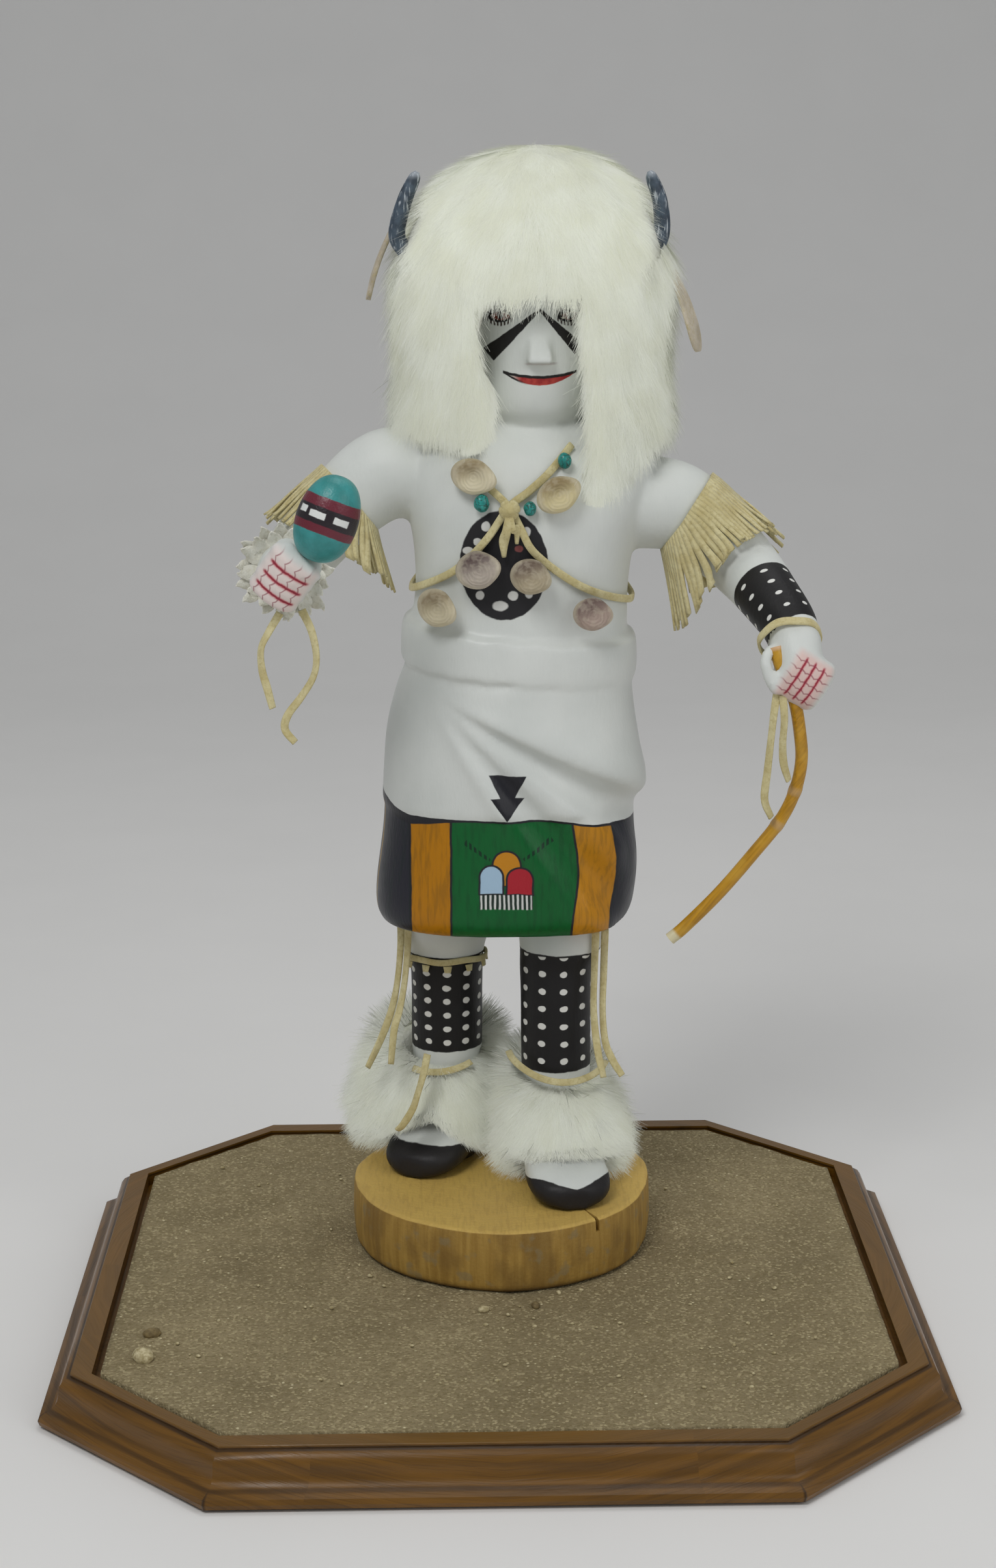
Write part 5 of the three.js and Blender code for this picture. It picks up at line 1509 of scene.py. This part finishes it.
bandolier = {
    "rest": 1.7,
    "width": 3.0,
    "thick": 1.5,
    "under": [
        ("x", 30.5, 341, 0), ("x", 22, 331.5, 0), ("x", 14, 324.5, 0), ("x", 6.7, 319, 0),
        ("x", -1, 308, 0), ("x", -9, 299, 0), ("x", -17, 292.5, 0), ("turn", -72, 285.5, 0),
        ("turn", -100, 284, 0), ("turn", -130, 290, 0), ("turn", -165, 304, 0), ("turn", -195, 319, 0),
        ("turn", -207, 327, 0),
    ],
    "over": [
        ("x", -12, 333, 0), ("x", -5, 329, 0), ("x", 1, 324.5, 1.2), ("x", 6.7, 319, 2.4),
        ("x", 11, 311, 1), ("x", 16, 302, 0), ("x", 29, 291.5, 0), ("x", 41, 285, 0),
        ("turn", 75, 280, 0), ("turn", 100, 281, 0), ("turn", 130, 288, 0), ("turn", 165, 302, 1.4),
        ("turn", 180, 310.5, 2.4), ("turn", 195, 318, 1.4), ("turn", 207, 327, 0),
    ],
}


def onTrunk(kind, value, height, lift):
    # Point on the chest by its x, or round the back by its angle from the front
    if kind == "x":
        return onFront(doll["trunk"], value, height, lift)
    return onColumn(doll["trunk"], math.radians(value), height, lift)


def fromTrunk(here):
    return (here[:, :3] - (13, 39, 0)) * (1, 1.4, 0)


def makeBandolier():
    # Two flat laces crossed on the chest and on the back, with a knot and two tails where they cross
    for number, key in enumerate(("under", "over"), 1):
        points = [onTrunk(*spot, bandolier["rest"] + lift) for *spot, lift in bandolier[key]]
        skin = strap(points, bandolier["width"], bandolier["thick"], fromTrunk, twist=0.25)
        addSkin(f"bandolier_{number}_leather", 12, 160, skin, leather, f"bandolier_{number}")
    bm = bmesh.new()
    spot = onTrunk("x", 6.7, 318.5, 7.0)
    for turn, wide in ((0.9, 3.6), (-0.9, 3.6), (0.1, 3.0)):
        reach = np.array((math.cos(turn), 0, math.sin(turn))) * 3.2
        turns = ((-1, 1.6), (-0.5, 0), (0, -0.9), (0.5, 0), (1, 1.6))
        loop = [spot + reach * share + (0, back, 0) for share, back in turns]
        gridSkin(bm, 14, 16, strap(loop, wide, 2.4, (0, -1, 0), power=0.9))
    for x, z, wide in ((4.6, 300.5, 3.4), (9.4, 305.5, 2.6)):
        falls = (((x + 6.7) / 2, 311, 5.6, 1.0), (x, z + 6, 3.6, 1.1), (x, z, 2.4, 0.5))
        tail = [(*spot, 0.7), *[(*onTrunk("x", *fall), share) for *fall, share in falls]]
        gridSkin(bm, 12, 24, strap(tail, wide, 1.2, (0.2, -1, 0), twist=0.5))
    addPiece("bandolier_knot_leather", bm, [leather], ["bandolier_knot"])


makeBandolier()

ears = {
    "right": {"root": (-36, 46.5, 420), "tip": (-45.9, 46, 393), "turn": -1.5},
    "left": {"root": (69, 33, 404), "tip": (79.4, 32.5, 373.7), "turn": 1.15},
}
earForm = [
    (0, 0.45), (0.15, 0.66), (0.4, 0.9), (0.65, 1.0), (0.8, 0.94), (0.92, 0.7), (0.98, 0.4), (1.0, 0.12),
]


def makeEar(side):
    # Hanging leather tab, round at the end, slightly cupped
    ear = ears[side]
    root, tip = np.array(ear["root"], float), np.array(ear["tip"], float)
    reach = tip - root
    facing = (math.sin(ear["turn"]), -math.cos(ear["turn"]), 0)
    points = [(*(root + reach * t + np.array(facing) * 1.2 * math.sin(t * math.pi)), w) for t, w in earForm]
    skin = strap(points, 10.5, 1.9, facing, power=0.45)
    surface = leatherSplit(f"ear_{side}_leather_split", "#cfc4b0", "#b3a791")
    addSkin(f"ear_{side}_leather", 28, 40, skin, surface, f"ear_{side}")


for earSide in ears:
    makeEar(earSide)


# Horns, rattle, bow, shells and beads

def hornPainted():
    # Slate blue-grey paint with dry white brush streaks along the horn
    s = Surface("horn_painted")
    place = s.local()
    streak = s.mottle(place, 1.1, 4.0, (1.0, 1.0, 0.18))
    patch = s.mottle(place, 4.0, 3.0)
    colour = s.coat(tone("#2f3a46"), s.step(patch, 0.5, 0.2), tone("#4d5c6a"))
    colour = s.coat(colour, s.step(streak, 0.6, 0.06), tone("#cdd4da"), 0.7)
    level = s.add("SeparateXYZ", place, output=2)
    colour = s.coat(colour, s.step(level, 439.0, 1.4), tone("#c3cbd2"), 0.5)
    return s.finish(colour, 0.5, streak, 0.3)


hornSurface = hornPainted()
for hornSide, hornPoints in horns.items():
    hornSkin = limb(hornPoints, (0, -1, 0))
    addSkin(f"horn_{hornSide}_painted", 28, 40, hornSkin, hornSurface, f"horn_{hornSide}")

rattle = {
    "centre": (-59, -45, 321.8),
    "axis": (0.35, 0, 0.94),
    "half": 11.2,
    "tall": 15.9,
    "handle": 2.8,
    "reach": 36.0,
    "oblongs": [(-9.4, 1.2, 1.0), (-4.4, 0.6, 2.8), (4.4, 0.6, 2.7)],
}


def gourdPainted():
    # Teal paint, a dark red band edged across the middle with a black bar and white oblongs
    s = Surface("gourd_painted")
    place = s.local(rattle["centre"], (0.36, 0.1, 0.93), (0.1, -1, 0.1))
    x, y, z = s.add("SeparateXYZ", s.wobbled(place, 3.0, 0.3), output=None)
    colour = s.clouded("#3f9a9a", "#2f8583", place, 7.0, 3.0, 0.2)
    colour = s.coat(colour, s.band(z, -5.6, 7.2), tone("#6d2433"))
    colour = s.coat(colour, s.band(z, -2.6, 3.6), tone("#241c22"))
    for cx, cz, wide in rattle["oblongs"]:
        oblong = s.both(s.band(x, cx - wide, cx + wide), s.band(z, cz - 1.2, cz + 1.2), s.below(y, 0.0))
        colour = s.coat(colour, oblong, tone("#e9ebe8"))
    return s.finish(colour, 0.38, s.mottle(place, 0.9, 2.0), 0.15)


def makeRattle():
    # Gourd with its handle through the fist
    axis, centre = unit(np.array(rattle["axis"])), np.array(rattle["centre"], float)
    bm = bmesh.new()

    def gourd(across, along):
        swing = along * math.pi
        side = unit(np.cross((0, 1, 0), axis))
        turn = across * fullTurn
        girth = bend(np.sin(swing), 0.8) * (1 + 0.04 * np.cos(swing))
        out = np.outer(np.cos(turn) * girth, side) + np.outer(np.sin(turn) * girth, np.cross(axis, side))
        return centre + rattle["half"] * out + np.outer(-rattle["tall"] * np.cos(swing), axis)

    gridSkin(bm, 56, 36, gourd)
    stick = unit(np.array(doll["fistRight"]["stick"], float))
    handle = [(*(centre - stick * rattle["reach"] * t), rattle["handle"]) for t in (0.2, 0.6, 1.0)]
    gridSkin(bm, 20, 12, limb(handle, (0, -1, 0)))
    addPiece("rattle_gourd", bm, [gourdPainted()], ["rattle"], sharp=60)


makeRattle()

bow = {
    "path": [
        (105, -14.6, 268.4), (106.4, -16, 263), (109.2, -16.6, 255.6), (112.4, -16.4, 248),
        (114.6, -15.2, 237), (115.7, -14, 225), (113.6, -13, 213), (108.5, -12, 201.5),
        (98.4, -12, 188.4), (85.7, -12, 173.2), (72.7, -12, 159.9), (67, -12, 155),
    ],
    "radius": 2.4,
    "joints": [(113.6, -13, 213.2), (107.4, -12, 199.8)],
}


def reedDried():
    # Amber reed: long fibres, lighter patches as painted highlights, pale pinkish joints, a cream cut end
    s = Surface("reed_dried")
    place = s.local()
    x, y, z = s.add("SeparateXYZ", place, output=None)
    fibre = s.mottle(s.local((0, 0, 0), (0.64, 0, 0.77)), 1.2, 4.0, (1.4, 1.4, 0.06))
    colour = s.coat(tone("#c8931a"), s.step(fibre, 0.5, 0.2), tone("#a8790f"))
    # Painted highlights: lighter golden patches
    colour = s.coat(colour, s.step(s.mottle(place, 11.0, 3.0), 0.55, 0.1), tone("#d4a63a"), 0.5)
    for joint in bow["joints"]:
        ring = s.add("VectorMath", place, joint, operation="DISTANCE", output=1)
        colour = s.coat(colour, s.add("SUBTRACT", 0.7, s.step(ring, 3.0, 0.8)), tone("#c7a57a"))
    top = s.add("VectorMath", place, bow["path"][0], operation="DISTANCE", output=1)
    colour = s.coat(tone("#dcb48a"), s.step(top, 2.7, 0.4), colour)
    low = s.add("MULTIPLY_ADD", x, 0.74, s.add("MULTIPLY", z, 0.67))
    colour = s.coat(tone("#ddd3ae"), s.step(low, 0.74 * 69.6 + 0.67 * 157.4, 0.8), colour)
    return s.finish(colour, 0.34, fibre, 0.2)


def makeBow():
    def swollen(share):
        # The joints of the reed stand out a little
        here = alongPath(bow["path"], share)[0][:, :3]
        near = np.min([np.linalg.norm(here - np.array(joint), axis=1) for joint in bow["joints"]], axis=0)
        return bow["radius"] + 0.3 * np.exp(-(near / 1.6) ** 2)

    share = np.linspace(0, 1, 90)
    here = alongPath(bow["path"], share)[0][:, :3]
    skin = limb(np.column_stack([here, swollen(share)]), (0, -1, 0.2))
    addSkin("bow_reed", 20, 160, skin, reedDried(), "bow", sharp=60)


makeBow()

shells = [
    (-6.4, 330.2, 18.5, 13.5, 12, 1.6, 2.0), (25.2, 324, 18, 13.5, -25, 1.6, 2.0),
    (-5, 296, 18, 14.5, -12, 1.2, 0.3), (14.6, 293.4, 16, 13.5, 20, 1.2, 0.3),
    (-20.5, 280.8, 17.5, 14.5, 20, 3.4, 1.8), (38, 278.6, 17, 12.5, 10, 3.4, 0.8),
]
shellTones = [
    ("#9a8a6a", "#ddd3b4"), ("#94825c", "#d6c99c"), ("#5d4c4a", "#b9aea2"),
    ("#6d5d50", "#b4a78c"), ("#8f8064", "#cfc4a6"), ("#6b5852", "#b29e92"),
]


def shellWornAndShaded(number, origin, dark, light):
    # Sea shell: darker towards the hinge at the top, partly its own colour and partly painted shade inside
    # the cup; a pale rim, partly worn and partly painted light on the rim; faint growth lines, a low sheen
    s = Surface(f"shell_{number}_worn_and_shaded")
    place = s.wobbled(s.local(origin), 3.0, 0.8)
    x, y, z = s.add("SeparateXYZ", place, output=None)
    away = s.add("SQRT", s.squares(x, z))
    lines = s.add("SINE", s.add("MULTIPLY", away, 5.0))
    # Darker towards the top: partly the shell's own colour, partly painted shade inside the cup
    colour = s.coat(tone(light), s.step(s.add("MULTIPLY_ADD", x, -0.35, z), 1.6, 4.2), tone(dark))
    colour = s.coat(colour, s.step(lines, 0.2, 0.8), tone("#7b6a60"), 0.07)
    # Pale rim: partly wear, partly painted light catching the rim
    colour = s.coat(colour, s.step(away, 6.6, 0.9), tone("#d8cfb6"), 0.5)
    colour = s.coat(colour, s.step(s.mottle(place, 2.6, 3.0), 0.54, 0.1), tone("#e2d9c2"), 0.2)
    return s.finish(colour, 0.55, lines, 0.05, Specular_IOR_Level=0.3)


def makeShells():
    for number, (x, z, long, wide, turn, off, hollow) in enumerate(shells, 1):
        spot = onTrunk("x", x, z, 4.6 + off)
        lean = math.atan2(spot[0] - 13, 39 - spot[1]) * 0.75
        put = Matrix.Translation(Vector(spot) * mm) @ Matrix.Rotation(lean, 4, "Z")
        put = put @ Matrix.Rotation(math.radians(turn), 4, "Y")
        bm = bmesh.new()
        verts = bmesh.ops.create_uvsphere(bm, u_segments=36, v_segments=24, radius=1.0)["verts"]
        for vert in verts:
            ux, uy, uz = vert.co
            slim = 1 - 0.2 * smooth(0, 1, ux)
            away = min(math.hypot(ux, uz), 1.0)
            front = 3.6 * math.sqrt(1 - away**4) - hollow * math.exp(-(away / 0.6) ** 2)
            depth = -front if uy < 0 else uy * 2.5
            vert.co = Vector((ux * long / 2, depth * slim, uz * wide / 2 * slim)) * mm
        bmesh.ops.transform(bm, matrix=put, verts=bm.verts)
        surface = shellWornAndShaded(number, tuple(spot), *shellTones[number - 1])
        addPiece(f"shell_{number}_sea", bm, [surface], [f"shell_{number}"])


makeShells()

beads = [(-3.6, 320.4, 2.9), (14.4, 318.6, 2.4), (27.6, 335.6, 2.6)]


def turquoiseTumbled():
    # Blue-green stone with darker veins, tumbled smooth
    s = Surface("turquoise_tumbled")
    place = s.local()
    colour = s.clouded("#2f9a92", "#1f7f7a", place, 2.4, 3.0, 0.2)
    vein = s.add("ABSOLUTE", s.add("SUBTRACT", s.mottle(place, 1.9, 4.0), 0.5))
    colour = s.coat(tone("#2b4a42"), s.step(vein, 0.025, 0.02), colour)
    return s.finish(colour, 0.3)


turquoise = turquoiseTumbled()
for beadNumber, (beadX, beadZ, beadHalf) in enumerate(beads, 1):
    beadMesh = bmesh.new()
    beadSpot = Vector(onTrunk("x", beadX, beadZ, 3.4)) * mm
    beadShape = Matrix.Diagonal((beadHalf * mm, 2.5 * mm, beadHalf * 1.15 * mm, 1))
    beadVerts = bmesh.ops.create_icosphere(beadMesh, subdivisions=4, radius=1.0, matrix=beadShape)["verts"]
    for beadVert in beadVerts:
        beadVert.co *= 1 + 0.09 * noise.noise(beadVert.co / (2.2 * mm) + Vector((beadNumber * 7, 0, 0)))
    bmesh.ops.translate(beadMesh, vec=beadSpot, verts=beadMesh.verts)
    addPiece(f"bead_{beadNumber}_turquoise", beadMesh, [turquoise], [f"bead_{beadNumber}"])
print("small pieces made")


# Floor, light and camera

studio = {
    "sky": 0.34,
    "aim": (0, 0, 0.22),
    "lamps": [
        ("key", (-0.5, -0.95, 1.5), 0.6, 9.6), ("fill", (1.1, -0.9, 0.9), 1.0, 4.2),
        ("top", (0.2, 0.4, 1.7), 0.9, 4.0),
    ],
}
photo = {
    "spot": (-15.9, -1019.3, 456.6),
    "aim": (1.9, 0, 213.6),
    "roll": -0.0054,
    "lens": 63.2,
    "sensor": 36.0,
}


def makeStage():
    # Pale floor that turns up into a backdrop, a soft lamp from the upper left, weaker ones right and above
    bm = bmesh.new()
    bmesh.ops.create_grid(bm, x_segments=2, y_segments=2, size=5.0)
    rim = [edge for edge in bm.edges if all(vert.co.y > 4.9 for vert in edge.verts)]
    for vert in {vert for edge in rim for vert in edge.verts}:
        vert.co.y = 2.4
    raised = bmesh.ops.extrude_edge_only(bm, edges=rim)["geom"]
    upper = [item for item in raised if isinstance(item, bmesh.types.BMVert)]
    bmesh.ops.translate(bm, vec=(0, 0, 4), verts=upper)
    bmesh.ops.bevel(
        bm, geom=rim, offset=1.2, offset_type="OFFSET", segments=16, profile=0.5, affect="EDGES", material=-1,
    )
    floor = toObject("floor", bm)
    floor.data.shade_smooth()
    s = Surface("floor_pale_matt")
    pale = s.clouded("#efeeec", "#edecea", s.local(), 90.0, 2.0, 0.3)
    floor.data.materials.append(s.finish(pale, 0.9))
    floor.location.z = -0.2 * mm
    world = bpy.data.worlds.new("studio")
    world.use_nodes = True
    background = world.node_tree.nodes["Background"]
    background.inputs[0].default_value = tone("#e6e8ea")
    background.inputs[1].default_value = studio["sky"]
    scene.world = world
    for name, spot, size, power in studio["lamps"]:
        light = bpy.data.lights.new(name, "AREA")
        light.size = size
        light.energy = power
        lamp = bpy.data.objects.new(name, light)
        lamp.location = spot
        lamp.rotation_euler = (Vector(studio["aim"]) - Vector(spot)).to_track_quat("-Z", "Y").to_euler()
        scene.collection.objects.link(lamp)
    scene.view_settings.view_transform = "Standard"


def makeCamera():
    spot, aim, roll = Vector(photo["spot"]) * mm, Vector(photo["aim"]) * mm, photo["roll"]
    ahead = (aim - spot).normalized()
    right = ahead.cross(Vector((0, 0, 1))).normalized()
    up = right.cross(ahead)
    aside = math.cos(roll) * right + math.sin(roll) * up
    over = math.cos(roll) * up - math.sin(roll) * right
    view = bpy.data.cameras.new("photo")
    view.lens = photo["lens"]
    view.sensor_width = photo["sensor"]
    camera = bpy.data.objects.new("photo", view)
    turn = Matrix((aside, over, -ahead)).transposed().to_4x4()
    camera.matrix_world = Matrix.Translation(spot) @ turn
    scene.collection.objects.link(camera)
    scene.camera = camera


makeStage()
makeCamera()
bpy.context.view_layer.update()
